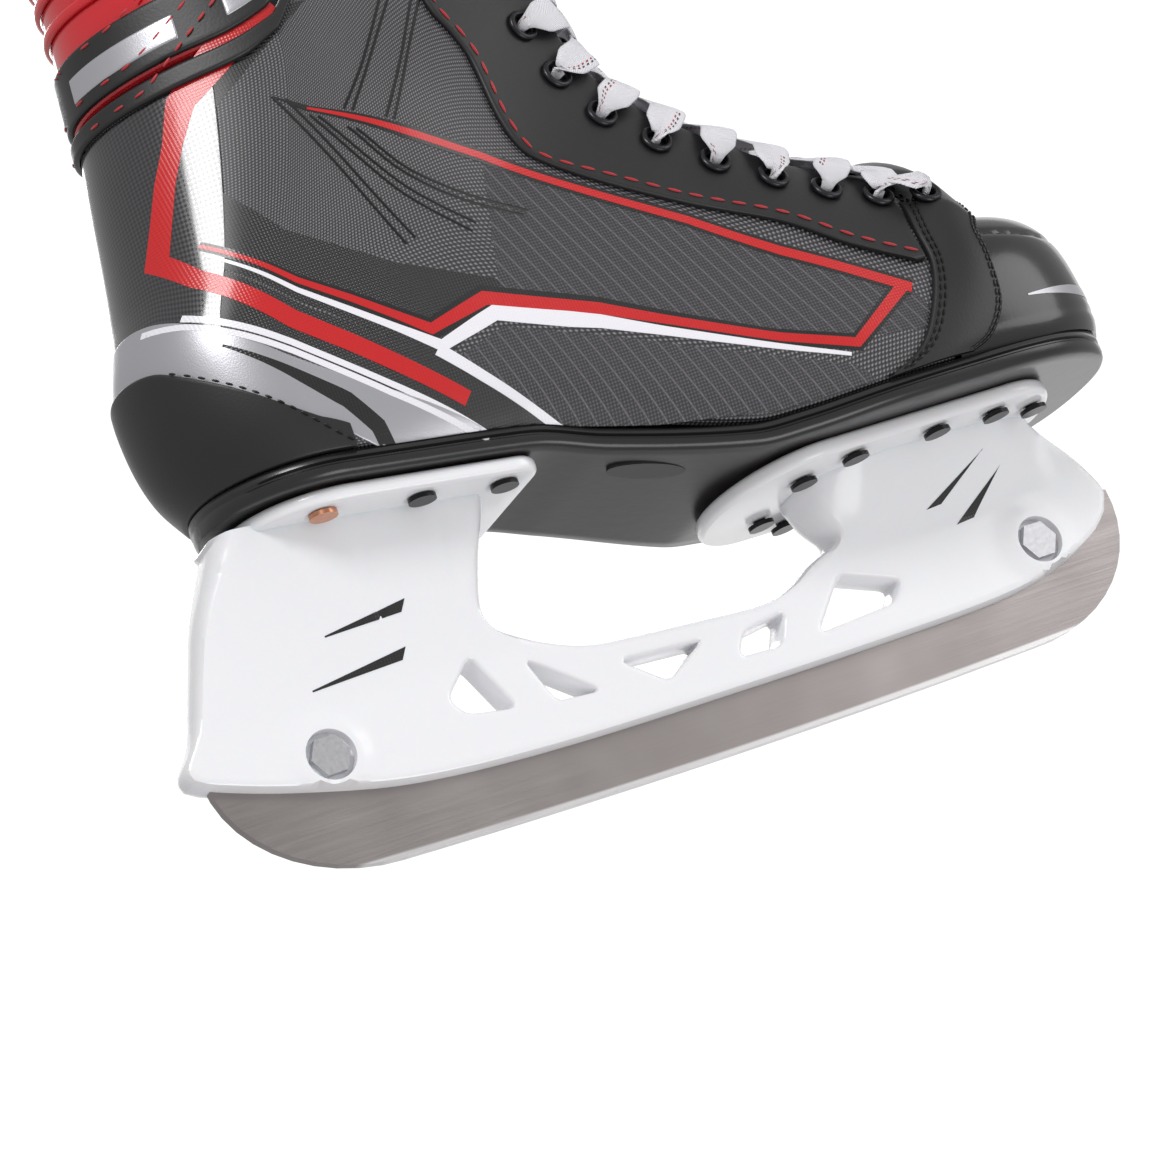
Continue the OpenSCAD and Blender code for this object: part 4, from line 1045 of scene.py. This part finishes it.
# %% [markdown]
# ## Outsole
# A pressed composite plate under the whole boot. Its side has a parting groove all round.
# %% Outsole: rings across the sole, from its middle below to its middle above
heel_end, toe_end = -117.0, 145.0


def plan_half(x):
    """Half width of the sole: the width line, rounded by a circle at the heel and by a
    superellipse at the toe."""
    r = np.clip((x - heel_end) / 31, 0.0005, 1)
    f = np.clip((x - 98) / (toe_end - 98), 0, 0.9999)
    return curve(SOLE_WIDTH, x) * np.sqrt(1 - (1 - r) ** 2) * (1 - f**2.6) ** (1 / 2.6)


a = np.linspace(0, np.pi / 2, 30)
xs = np.r_[heel_end + 31 * (1 - np.cos(a)), np.linspace(-86, 98, 120)[1:-1], 98 + 47 * np.sin(a)]
# across: distance in from the edge and height, down the plate's rounded lip and back
prof = np.array([[0.0, 6], [0.35, 5.9], [-0.2, 5.2], [-0.35, 4.4], [0.55, 3.9],
                 [0.55, 3.5], [-0.2, 3.0], [-0.1, 1.6], [0.5, 0.5], [1.6, 0.0]])
w = plan_half(xs)
rings = []
for inset, up in prof:
    rings.append((np.maximum(w - inset, 0.05), up))
rows_y = [(w * k, 6.0) for k in (-0.9, -0.45, 0.0, 0.45, 0.9)]
seq = [(-y, z) for y, z in reversed(rings)] + rows_y + [(y, z) for y, z in rings] + \
      [(w * k, 0.0) for k in (0.85, 0.5, 0.2, -0.2, -0.5, -0.85)]
g = np.stack([np.stack([xs, y + 0 * xs, STACK + curve(SOLE, xs) + z], -1) for y, z in seq], 1)
n, m = g.shape[:2]
idx = np.arange(n * m).reshape(n, m)
fac = np.stack([idx[:-1], np.roll(idx[:-1], -1, 1), np.roll(idx[1:], -1, 1), idx[1:]], -1).reshape(-1, 4).tolist()
fac += [idx[0].tolist(), idx[-1][::-1].tolist()]
outsole = mesh_object("outsole_skin", g.reshape(-1, 3), fac, outsole_mat, sharp=50)
place(outsole, "boot", "outsole_composite", "outsole")
report(outsole)

# %% [markdown]
# ## Tongue
# Felt, eight millimetres thick, arched over the instep. Its top leans forward on a crease.
# %% Tongue and its folding top
LINE = [[0, 99, 71], [0.14, 88, 80], [0.3, 72, 90], [0.48, 56, 104], [0.62, 45, 117],
        [0.72, 40, 130], [0.86, 37, 155], [1, 37, 186], [1.3, 41, 238]]


def tongue(t, y, o):
    """Point at fraction t along the tongue's centre line and y across it, o above its face:
    the line less a circle's drop, taken along the line's own normal."""
    t, y, o = np.broadcast_arrays(t, y, o)
    cx, ch = curve(col(LINE, 1), t), curve(col(LINE, 2), t)
    e = 0.02
    p = [np.stack([curve(col(LINE, 1), k), curve(col(LINE, 2), k)], -1) for k in
         (np.maximum(t - e, 0), np.minimum(t + e, 1.3))]
    d = p[1] - p[0]
    d /= np.linalg.norm(d, axis=-1)[..., None]
    k = (np.abs(y) + 7.5) / (curve(HALF_WIDTH, cx) + 2)
    drop = curve(ARCH, cx) * (1 - np.sqrt(np.maximum(1 - k * k, 0))) - o
    return np.stack([cx - d[..., 1] * drop, y, STACK + ch + d[..., 0] * drop], -1)


def tongue_piece(name, t0, t1, w, o0, o1, n, material, lip):
    """A piece of the tongue from t0 to t1, half width w, with rolled edges."""
    fy, full_y = steps(30, 2 * w, lip)
    ft, full_t = steps(n, 190 * (t1 - t0), lip)
    t = lerp(t0, t1, ft)[None, :]
    y = lerp(-w, w, fy)[:, None] * (1 - 0.17 * t)
    full = full_y[:, None] * full_t[None, :]
    mid, half_o = (o0 + o1) / 2, (o1 - o0) / 2 * (0.35 + 0.65 * full)
    return wall(name, tongue(t, y, mid + half_o), tongue(t, y, mid - half_o), material)


felt = tongue_piece("tongue_felt", 0, 0.995, 19, -8, 0, 80, felt_mat, 3.5)
place(felt, "boot", "tongue_felt", "tongue")
flap = tongue_piece("tongue_top", 1.01, 1.3, 19, -8, 0, 40, felt_mat, 3.5)
place(flap, "tongue_top", "tongue_felt", "tongue_flap")
plate_on = tongue_piece("tongue_plate", 0.66, 0.93, 15, 0.3, 1.8, 30, plate_mat, 1.0)
place(plate_on, "boot", "shield_plastic", "tongue_shield")
report(felt, flap, plate_on)

# %% [markdown]
# ## Tendon guard
# Clear red elastomer, ribbed at the back so that it flexes with the ankle, with a stitched
# black band round its foot.
# %% Guard, its ribs and pad
GUARD_H = 88.0
guard_top = [[x, 145 + GUARD_H - d] for x, d in ([-125, 0], [-98, 0], [-86, 7], [-60, 34], [-44, 46])]
guard_low = [[p, q + 1] for p, q in COLLAR]
guard_front = [[140, -48], [182, -48], [200, -60], [240, -84]]
guard = layer("tendon_guard_skin", -2, 2, guard_low, guard_top, guard_front, -QUARTER, 0,
              110, 50, guard_mat, 1.5, 200, 80)
place(guard, "guard", "guard_red", "tendon_guard")
ribs = [layer("rib_%d" % k, -0.42, 0.42, [[-130, h], [0, h]], [[-130, h + 3.2], [0, h + 3.2]], guard_front, 0.3, 1.6,
              40, 4, guard_mat, 1.2, 34, 3.2) for k, h in enumerate(172 + 9.0 * np.arange(6))]
place(joined("guard_ribs_skin", ribs), "guard", "guard_red", "guard_ribs")
pad = layer("guard_padding", -1.9, 1.9, [[p, q + 4] for p, q in guard_low], [[p, q - 3] for p, q in guard_top],
            guard_front, -7.3, -3.3, 80, 30, foam_mat, 3.0, 180, 70)
place(pad, "guard", "foam", "guard_pad")
band = layer("guard_band_skin", -2, 2, BAND_LOW, [[p, q - 0.3] for p, q in COLLAR], [[0, -19], [240, -19]],
             GAP, GAP + OVERLAY, 130, 10, leather_mat, 1.0, 240, 6)
place(band, "boot", "black_leather", "guard_band")
report(guard, pad, band)

# %% [markdown]
# ## Eyelets and lace
# Pressed metal eyelets with rolled rims. The lace comes up through an eyelet, crosses over
# the edge of its side and dives under the other one.
# %% Eyelets
EYE_X = [[0, 103], [3, 61], [6, 23], [8, 13], [11, 10]]
EYE_H = [[0, 52.5], [3, 71.5], [6, 102.5], [8, 133.5], [11, 179]]
K = np.arange(12)
ex, eh = curve(EYE_X, K), curve(EYE_H, K)
eye_n = normals(np.stack([ex, eh], 1))
eye_p = skin(ex, eh, 0)
eye_p[0] = strip(np.array(0.64), np.array(0.36), 0.4)


def revolved(profile, centre, axis, turns=40):
    """Ring grid of a profile (radius, height) turned about an axis through a point."""
    up = np.array([0.3, 0.1, 1.0])
    a = np.cross(axis, up)
    a /= np.linalg.norm(a)
    b = np.cross(axis, a)
    k = np.linspace(0, 2 * np.pi, turns, endpoint=False)
    r, z = np.asarray(profile, float).T
    ring = np.cos(k)[:, None] * a + np.sin(k)[:, None] * b
    return centre + r[None, :, None] * ring[:, None, :] + z[None, :, None] * axis


def ring_faces(n, m, start, closed=True):
    """Quads of n profiles of m points, turned into a ring."""
    idx = start + np.arange(n * m).reshape(n, m)
    j = np.roll(idx, -1, 0)
    jj, ii = (np.roll(j, -1, 1), np.roll(idx, -1, 1)) if closed else (j[:, 1:], idx[:, 1:])
    j, idx = (j, idx) if closed else (j[:, :-1], idx[:, :-1])
    return np.stack([idx, j, jj, ii], -1).reshape(-1, 4)


roll = np.linspace(np.pi, 0, 9)
profile = [(2.4, -4.4), (3.9, -4.4), (3.9, -4.0), (3.2, -3.8), (3.2, 2.2), (4.5, 2.2)] + \
          [(3.55 + 1.05 * math.cos(a), 2.35 + 1.0 * math.sin(a)) for a in roll[::-1]][1:] + [(2.35, 1.6), (2.3, -3.8)]
for s, name in ((1, "right"), (-1, "left")):
    pts, fcs = [], []
    flip_y = np.array([1, s, 1])
    for p, nrm in zip(eye_p, eye_n):
        ring = revolved(profile, p * flip_y, nrm * flip_y)
        fcs.append(ring_faces(40, len(profile), sum(len(q) for q in pts)))
        pts.append(ring.reshape(-1, 3))
    eye = mesh_object("eyelet_row_" + name, np.vstack(pts), np.vstack(fcs), eyelet_mat, sharp=60)
    place(eye, "boot", "eyelet_metal", "eyelets_" + name)
    report(eye)

# %% [markdown]
# The lace is woven flat and is pulled narrow where it passes an eyelet, so the ribbon has
# a width of its own at every point of its route.
# %% Lace: a flat ribbon with a lens section, carried along its whole route
LACE_T = [[0, 0.05], [3, 0.3], [6, 0.62], [8, 0.755], [11, 0.93], [12, 0.96]]
RISE = [[0, 5], [3, 9], [6, 7], [8, 3], [11, 1]]


def edge_at(k, ahead, o):
    """Point by the eyestay edge beside eyelet k, o above the quarter."""
    h = float(curve(EYE_H, k) + curve(RISE, k))
    x = float(curve(FRONT, h)) + ahead
    return skin(x, h, 0) + o * normals([[x, h]])[0]


def strand(s0, lift):
    """Waypoints of half the lace, each with its half width and its outward direction."""
    way = []

    def put(p, s, w, n):
        """Waypoint p on side s with half width w and outward direction n."""
        way.append((np.array([p[0], s * abs(p[1]), p[2]]), w, np.array([n[0], s * abs(n[1]), n[2]])))

    put(eye_p[0] - 6 * eye_n[0], s0, 1.6, eye_n[0])
    for k in K:
        s = s0 * (1 if k % 2 == 0 else -1)
        t = float(curve(LACE_T, k + 0.5))
        put(eye_p[k] + 1.0 * eye_n[k], s, 1.3, eye_n[k])
        put(eye_p[k] + (4.6 if k else 5.2) * eye_n[k], s, 2.0, eye_n[k])
        over = edge_at(k, 0, 4.6 if k else 6.8)
        mid = lerp(eye_p[k] + 4.9 * eye_n[k], over, 0.45)
        put(mid, s, 5.0, eye_n[k])
        put(over, s, 5.2, eye_n[k])
        for y in (12, 6, 0, -6, -12):
            p = tongue(t, y, lift - 0.5)
            q = tongue(t, y, lift + 2)
            way.append((p * [1, s, 1], 4.6, (q - p) * [1, s, 1]))
        if k < 11:
            put(edge_at(k + 1, -3, -5.4), -s, 2.6, eye_n[k + 1])
            put(eye_p[k + 1] - 6.5 * eye_n[k + 1], -s, 1.6, eye_n[k + 1])
        else:
            put(skin(14, 183, -6), -s, 2.6, eye_n[11])
            put(skin(6, 176, -6.2), -s, 2.0, eye_n[11])
    return way


route = strand(-1, 4)[::-1] + strand(1, 7)
P = np.array([w[0] for w in route])
run = np.r_[0, np.cumsum(np.linalg.norm(np.diff(P, axis=0), axis=1))]
s = np.linspace(0, run[-1], 1500)
C = np.stack([curve(np.stack([run, c], 1), s) for c in P.T], 1)
half_w = np.interp(s, run, [w[1] for w in route])
N = np.stack([np.interp(s, run, c) for c in np.array([w[2] / np.linalg.norm(w[2]) for w in route]).T], 1)
T = np.gradient(C, axis=0)
T /= np.linalg.norm(T, axis=1)[:, None]
N = N - T * (N * T).sum(1)[:, None]
short = np.linalg.norm(N, axis=1)
for i in np.nonzero(short < 0.25)[0]:
    N[i] = N[i - 1] - T[i] * (N[i - 1] @ T[i])
N /= np.linalg.norm(N, axis=1)[:, None]
for _ in range(3):
    N = (N + np.roll(N, 1, 0) + np.roll(N, -1, 0))
    N -= T * (N * T).sum(1)[:, None]
    N /= np.linalg.norm(N, axis=1)[:, None]
W = np.cross(T, N)
k = np.linspace(0, 2 * np.pi, 14, endpoint=False)
lens = np.sign(np.cos(k)) * np.abs(np.cos(k)) ** 0.8
thick = np.where(half_w < 2, 1.0, 0.55)
lace_pts = (C[:, None] + (half_w[:, None] * lens)[..., None] * W[:, None]
            + (thick[:, None] * np.sin(k))[..., None] * N[:, None])
uv = np.stack(np.broadcast_arrays(s[:, None], lens[None, :] * 4.2), -1).reshape(-1, 2)
n, m = lace_pts.shape[:2]
idx = np.arange(n * m).reshape(n, m)
fac = np.stack([idx[:-1], idx[1:], np.roll(idx[1:], -1, 1), np.roll(idx[:-1], -1, 1)], -1).reshape(-1, 4).tolist()
fac += [idx[0].tolist(), idx[-1][::-1].tolist()]
lace = mesh_object("lace_ribbon", lace_pts.reshape(-1, 3), fac, lace_mat, uv, sharp=180)
place(lace, "boot", "lace_white", "lace")
lace_length = float(np.linalg.norm(np.diff(C, axis=0), axis=1).sum())
print("lace drawn through the eyelets, m:", round(lace_length / 1000, 3))

# %% [markdown]
# ## Printed and pressed decoration
# Stripes are inked over the weave after the quarter is formed; they are drawn here as thin
# skins ruled between two mitred edges, given as stations and heights on the boot.
# %% Stripes and panels
RED_LOW = [[-57, 153], [-72, 145], [-87, 135], [-98, 116], [-107, 97], [-102, 88],
           [-85, 68.5], [-73, 58], [-60, 46], [-49, 36]]
RED_BLOCK = [[-98, 96], [-80, 78], [-69, 69.5], [-52, 55.5], [-35, 59.5], [-6, 48.5],
             [38, 26.5], [57, 18.5], [79, 31]]
SWOOSH = [[-60, 121], [-38, 108.5], [-18, 98], [6, 82], [30, 66], [50, 50], [66, 39], [80, 29]]
WHITE_TOP = [[-98, 93], [-81, 75.5], [-60, 58], [-51, 50.5], [-34, 55], [-7, 45], [37, 24], [54, 16]]
WHITE_LEG = [[-52.5, 50], [-43, 40], [-27, 24], [-22, 19.5]]
WHITE_LOW = [[-109, 79.5], [-102, 74], [-88, 63], [-68, 45.5], [-46, 27], [-43, 24.5]]


def stripe(name, path, width, ink, high, side, step=2.0):
    """Ink band along a path, its widths spread evenly along the length."""
    p = resampled(path, step)
    run = np.r_[0, np.cumsum(np.linalg.norm(np.diff(p, axis=0), axis=1))]
    knots = np.linspace(0, run[-1], len(width))
    a, b = band_edges(p, np.interp(run, knots, width))
    return print_on(name, a, b, ink, high=high, side=side, across=4)


def between(name, low, high_edge, material, side, n=70, high=0.1, across=14):
    """Panel ruled between two polylines, each taken at even fractions of its length."""
    ends = []
    for p in (low, high_edge):
        p = np.asarray(p, float)
        run = np.r_[0, np.cumsum(np.linalg.norm(np.diff(p, axis=0), axis=1))]
        q = np.linspace(0, run[-1], n)
        ends.append(np.stack([np.interp(q, run, p[:, i]) for i in (0, 1)], 1))
    return print_on(name, ends[0], ends[1], material, high=high, side=side, across=across)


for side, name in ((-1, "right"), (1, "left")):
    parts = {
        # ribbed cloth under the white line, down to the sole
        "ribbed": between("ribbed", [[-27, 24], [0, 15.5], [30, 8.5], [58, 7.2]],
                          [[-47, 47], [-33, 51], [-7, 41], [37, 21], [54, 13]], ribbed_mat, side, high=0.08),
        # ribbed cloth from the middle of the side to the eyestay
        "ribbed_top": between("ribbed_top", [[-30, 61], [-6, 51], [38, 29], [62, 19], [84, 16]],
                              [[-18, 97], [6, 81], [30, 65], [50, 49], [80, 28]], ribbed_mat, side, high=0.06),
        "border": between("border", [[-104, 101], [-98, 90], [-81, 72], [-60, 54], [-51, 47]],
                          [[-91, 112], [-78, 92], [-54, 75], [-30, 64], [-28, 60]], border_mat, side, high=0.06),
        "border_low": between("border_low", [[-104, 75], [-88, 61], [-66, 42], [-44, 23]],
                              [[-99, 90], [-81, 71], [-55, 50], [-27, 24]], border_mat, side, high=0.05),
        "border_rear": between("border_rear", [[-104, 99], [-96, 117], [-85, 134], [-57, 151]],
                               [[-92, 108], [-88, 121], [-80, 130], [-47, 151]], border_mat, side, high=0.05),
    }
    for key, o in parts.items():
        o.name = key + "_" + name
        place(o, "boot", "quarter_weave")
    reds = [stripe("a", RED_LOW, [10, 9, 4.6, 4.6, 5, 5, 4.6, 4], inks["red"], 0.14, side),
            stripe("b", RED_BLOCK, [1.0, 1.6, 2.2, 3.8, 3.6, 2.6, 2.4, 2.6, 3.4], inks["red"], 0.15, side),
            stripe("c", SWOOSH, [0.6, 2.0, 2.1, 2.3, 2.6, 3.0, 3.2], inks["red"], 0.16, side)]
    place(joined("red_print_" + name, reds), "boot", "quarter_weave")
    blacks = [stripe("d", SWOOSH, [1.4, 4.0, 4.2, 4.4, 4.6, 5.0, 5.4], inks["black"], 0.11, side),
              stripe("e", [[-67, 127], [-60, 121]], [0.3, 1.6], inks["black"], 0.13, side),
              stripe("f", RED_BLOCK, [2.4, 3.2, 4.4, 7.0, 7.0, 5.2, 4.4, 4.6, 5.6], inks["black"], 0.10, side)]
    place(joined("black_print_" + name, blacks), "boot", "quarter_weave")
    whites = [stripe("g", WHITE_TOP, [0.7, 1.4, 2.0, 4.0, 4.4, 2.6, 1.8, 1.0], inks["white"], 0.16, side),
              stripe("h", WHITE_LEG, [3.4, 2.8, 2.2, 1.8], inks["white"], 0.17, side),
              stripe("i", WHITE_LOW, [1.8, 1.8, 1.6, 1.6, 1.6], inks["white"], 0.16, side)]
    place(joined("white_print_" + name, whites), "boot", "quarter_weave")
    fan = [[[-67, 127], [-56, 98], [-49, 79]], [[-64, 125], [-53.5, 98], [-46, 80]],
           [[-60, 119], [-52, 104], [-44, 92], [-30, 78]], [[-58, 118], [-50, 104], [-42, 93], [-28, 80]],
           [[-52, 113], [-43, 99], [-30, 88], [-14, 79]], [[-50, 112], [-41, 99], [-28, 89], [-12, 80]],
           [[-24, 150], [-40, 130], [-51, 118]], [[-22, 149], [-38, 130], [-49, 117]],
           [[-16, 147], [-28, 130], [-41, 113]], [[-14, 146], [-26, 130], [-39, 112]]]
    lines = []
    for i, p in enumerate(fan):
        q = rounded_path(p, 36)
        a, b = band_edges(q, 0.75)
        lines.append(print_on("l%d" % i, a, b, line_mat, high=0.08, side=side, across=4, dome=0.25))
    place(joined("pressed_lines_" + name, lines), "boot", "quarter_weave")

# %% [markdown]
# The heel carries a resin skin and a foil band, laid over the quarter as thin layers.
# %% Heel: glossy twill skin, silver band and its white borders
twill = layer("heel_twill", -0.74, 0.74, [[p, q + 9] for p, q in PATCH_TOP], BAND_LOW, [[0, -82], [240, -82]],
              -0.2, 0.08, 90, 60, carbon_mat, 0.6, 90, 60)
place(twill, "boot", "quarter_weave")
SIL = [[-125, 86], [-121, 86], [-116, 84], [-109, 79.5], [-102, 74], [-88, 63],
       [-68, 45.5], [-46, 28], [-40, 25.5]]
SIL_LOW = [[-125, 73], [-122, 73], [-114, 69], [-109, 64], [-95, 50.5], [-84, 39],
           [-80, 33], [-76, 29], [-60, 26.3], [-40, 23.8]]
silver = layer("silver_band", -2, 2, SIL_LOW, SIL, [[0, -46], [240, -46]], -0.2, 0.2,
               160, 20, silver_mat, 0.5, 200, 12)
place(silver, "boot", "quarter_weave")
report(twill, silver)
for side, name in ((-1, "right"), (1, "left")):
    trims = [stripe("t", [[x - 0.3, h - 2.6] for x, h in SIL[2:-1]], [1.6] * 6, inks["white"], 0.27, side)]
    place(joined("white_border_" + name, trims), "boot", "quarter_weave")
    edge_line = stripe("black_edge_" + name, [[-104, 68], [-92, 56.5], [-80, 44.5], [-74.5, 36],
                                              [-73.5, 31], [-73.5, 28]], [0.6, 1.6, 3.0, 4.2, 4.2, 4.2], inks["black"], 0.24, side)
    place(edge_line, "boot", "quarter_weave")

# %% [markdown]
# The cuff rides on the guard, because it is sewn to it and turns with it.
# %% Guard's cuff: the stitched black surround at the foot of the guard, with silver tabs
cuff_low, cuff_top = [[p, q + 2.4] for p, q in COLLAR], [[p, q + 19] for p, q in COLLAR]
cuff = layer("guard_cuff", -1.93, 1.93, cuff_low, cuff_top, guard_front, 0.1, 1.5,
             120, 18, leather_mat, 1.1, 220, 18)
place(cuff, "guard", "black_leather")
report(cuff)
tabs = []
for s in (-1, 1):
    for u0, u1 in ((0.1, 0.66), (0.84, 1.72)):
        low, high = ([[p, q + d] for p, q in COLLAR] for d in (6, 13))
        tabs.append(layer("tab", u0 * s, u1 * s, low, high, guard_front,
                          1.0, 1.75, 40, 8, silver_mat, 0.6, 40, 7))
place(joined("guard_tabs", tabs), "guard", "black_leather")

# %% [markdown]
# Small marks: a silver line moulded in the cap, and plain dashes pressed on the holder.
# %% Toe line and holder dashes
pp = np.radians(np.linspace(78, 6, 60))[:, None]
fade = np.sin(np.linspace(0.05, 1, 60) * np.pi)[:, None]
qq = np.radians(1.2) + np.linspace(-1, 1, 3)[None, :] * np.radians(0.75) * fade
line = wall("toe_line", toe(pp, qq, 0.12), toe(pp, qq, -0.4), silver_mat)
place(line, "boot", "toe_plastic")
report(line)


def on_holder(name, low_edge, high_edge, side):
    """Dash ruled between two edges on the holder's own surface, a tenth of a millimetre proud."""
    t = np.linspace(0, 1, 5)[None, :, None]
    a, b = (resampled(p, 1.0) for p in (low_edge, high_edge))
    n = min(len(a), len(b))
    a, b = (q[np.linspace(0, len(q) - 1, n).round().astype(int)] for q in (a, b))
    g = a[:, None] + (b - a)[:, None] * t
    y = half_thickness(g.reshape(-1, 2)).reshape(g.shape[:2])
    over, under = (np.stack([g[..., 0], side * (y + o), g[..., 1]], -1) for o in (0.1, -0.3))
    return wall(name, over, under, inks["black"], uv=g)


DASHES = [([[-100, 60], [-78, 60.5]], [[-100, 60.4], [-76, 63.5]]),
          ([[-108, 48], [-82, 49]], [[-108, 48.4], [-80, 52]]),
          ([[78, 45], [99, 55]], [[83, 45.3], [99.3, 55.3]]), ([[86, 39], [104, 50]], [[92, 39.5], [104.3, 50.3]])]
for side, name in ((-1, "right"), (1, "left")):
    dashes = joined("holder_dashes_" + name, [on_holder("d", a, b, side) for a, b in DASHES])
    place(dashes, "boot", "holder_plastic")

# %% [markdown]
# Thread shows only between needle holes. Each stitch is a capsule laid on the surface.
# %% Stitching
seams = []
for side in (-1, 1):
    p = [[x + 2.2, h + (1.6 if x > 0 else 0)] for h, x in EYESTAY if h < 190]
    seams.append(stitches("s", p, red_thread, length=4.2, pitch=6.0, wide=0.8, proud=1.95, side=side))
    p = [[x, h + 1.5] for x, h in BAND_LOW if -119 < x < -30]
    seams.append(stitches("s", p, red_thread, length=3.2, pitch=4.6, wide=0.8, proud=1.95, side=side))
place(joined("red_stitching", seams), "boot", "black_leather")
seams = [stitches("s", [[x, h + d] for x, h in COLLAR if -125 < x < -50], red_thread, length=3.2, pitch=4.6, wide=0.8,
                  proud=1.6, side=side) for side in (-1, 1) for d in (4.4, 16.6)]
place(joined("cuff_stitching", seams), "guard", "black_leather")
seams = [stitches("s", [[x - 2.2, h - 2.4] for x, h in PATCH_TOP if x > -121], black_thread, length=2.2, pitch=3.2,
                  wide=0.75, proud=1.9, side=side) for side in (-1, 1)]
for e in (0.09, 0.16, 0.9, 0.95):
    t = np.arange(0.03, 1.97, 0.027)
    at = strip_grid(np.full((1, 2), OVERLAY), t, np.array([e, min(e + 0.04, 1)]))
    t2 = strip_grid(np.full((1, 2), OVERLAY), t + 0.006, np.array([e, min(e + 0.04, 1)]))
    nrm = np.cross(at[:, 1] - at[:, 0], t2[:, 0] - at[:, 0])
    nrm /= np.linalg.norm(nrm, axis=1)[:, None]
    nrm *= np.where((nrm * [0, 1, 0.7] * np.sign(at[:, 0] * [0, 1, 1] + [0, 0, 1])).sum(1) < 0, -1, 1)[:, None]
    seams.append(stitches("s", None, black_thread, length=2.3, wide=0.75, proud=0.15, at=(at[:, 0], t2[:, 0], nrm)))
place(joined("black_stitching", seams), "boot", "black_leather")

# %% [markdown]
# ## Hardware kept from the mechanical model
# The runner, bolts, rivets and boards are exact solids already; they only need their metal,
# fibre and plastic.
# %% Materials of the solids that are kept
kept = {"runner": (steel_mat, "steel_blade"), "runner_bolts": (zinc_mat, "bolt_steel"),
        "runner_nuts": (zinc_mat, "bolt_steel"),
        "steel_rivets": (rivet_mat, "rivet_black"), "copper_rivets": (copper_mat, "copper"),
        "rivet_washers": (zinc_mat, "bolt_steel"), "sole_vent": (vent_mat, "vent_plastic"),
        "insole_board": (board_mat, "fibreboard"), "footbed": (foam_mat, "foam"),
        "lace_tips": (tip_mat, "aglet")}
for name, (m, _) in kept.items():
    ob = next(o for o in bpy.data.objects if o.get("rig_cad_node") == name or o.name == name)
    ob.data.materials.clear()
    ob.data.materials.append(m)

# %% [markdown]
# ## Camera, light and backdrop
# A long lens from low on the toe side, in a white tent: one large soft light over each
# shoulder and a plain white wall behind.
# %% Camera
az, el, roll = (math.radians(v) for v in (-28, -13, 24))
right = Vector((math.cos(az), math.sin(az), 0))
up = Vector((-math.sin(az) * math.sin(el), math.cos(az) * math.sin(el), math.cos(el)))
back = Vector((math.sin(az) * math.cos(el), -math.cos(az) * math.cos(el), math.sin(el)))
cam_x = math.cos(roll) * right - math.sin(roll) * up
cam_y = math.sin(roll) * right + math.cos(roll) * up
cam = bpy.data.objects.new("camera", bpy.data.cameras.new("camera"))
cam.data.lens, cam.data.sensor_width = 126.5, 36
cam.data.clip_start, cam.data.clip_end = 0.05, 20
turned = Matrix((cam_x, cam_y, back)).transposed()
cam.matrix_world = Matrix.Translation(Vector((-0.024, 0, 0.0585)) + back * 1.05) @ turned.to_4x4()
bpy.context.scene.collection.objects.link(cam)
bpy.context.scene.camera = cam

# %% [markdown]
# Large soft lights keep the glossy plastics free of hard spots; the wall reads as paper.
# %% Light and backdrop


def lamp(name, where, target, size, power):
    """Round area light turned towards a target."""
    data = bpy.data.lights.new(name, "AREA")
    data.shape, data.size, data.energy = "DISK", size, power
    ob = bpy.data.objects.new(name, data)
    ob.location = where
    ob.rotation_euler = (Vector(target) - Vector(where)).to_track_quat("-Z", "Y").to_euler()
    bpy.context.scene.collection.objects.link(ob)


aim = (0, 0, 0.1)
lamp("key", (-0.7, -1.2, 1.2), aim, 0.6, 14)
lamp("fill", (1.3, -1.0, 0.4), aim, 1.0, 5)
lamp("low", (0.1, -1.0, -0.9), aim, 0.8, 5)
lamp("rim", (0.3, 1.0, 0.9), aim, 0.8, 5)
world = bpy.data.worlds.new("tent")
world.use_nodes = True
world.node_tree.nodes["Background"].inputs["Color"].default_value = (1, 1, 1, 1)
world.node_tree.nodes["Background"].inputs["Strength"].default_value = 0.52
# White wall: lit paper, bright enough to read as pure white.
wall_mat = material("lit_white_paper", "#ffffff", 1.0)
wall_bsdf = wall_mat.node_tree.nodes["Principled BSDF"]
wall_bsdf.inputs["Base Color"].default_value = (0, 0, 0, 1)
wall_bsdf.inputs["Emission Color"].default_value = (1, 1, 1, 1)
wall_bsdf.inputs["Emission Strength"].default_value = 1.1
centre, reach = Vector((0, 0, 0.1)) - back * 2.6, 1.6
corners = [centre + cam_x * (i * reach) + cam_y * (j * reach) for i, j in ((-1, -1), (1, -1), (1, 1), (-1, 1))]
paper = mesh_object("white_wall", np.array([list(c) for c in corners]) / MM, [[0, 1, 2, 3]], wall_mat,
                    flip=False)
paper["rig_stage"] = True
bpy.context.scene.world = world
bpy.context.scene.view_settings.view_transform = "Standard"

# %% [markdown]
# The box of the shown pieces is printed, in millimetres.
# %% Sizes
low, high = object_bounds()
print("visual box, mm:", [round(v * 1000, 1) for v in (*low, *high)])
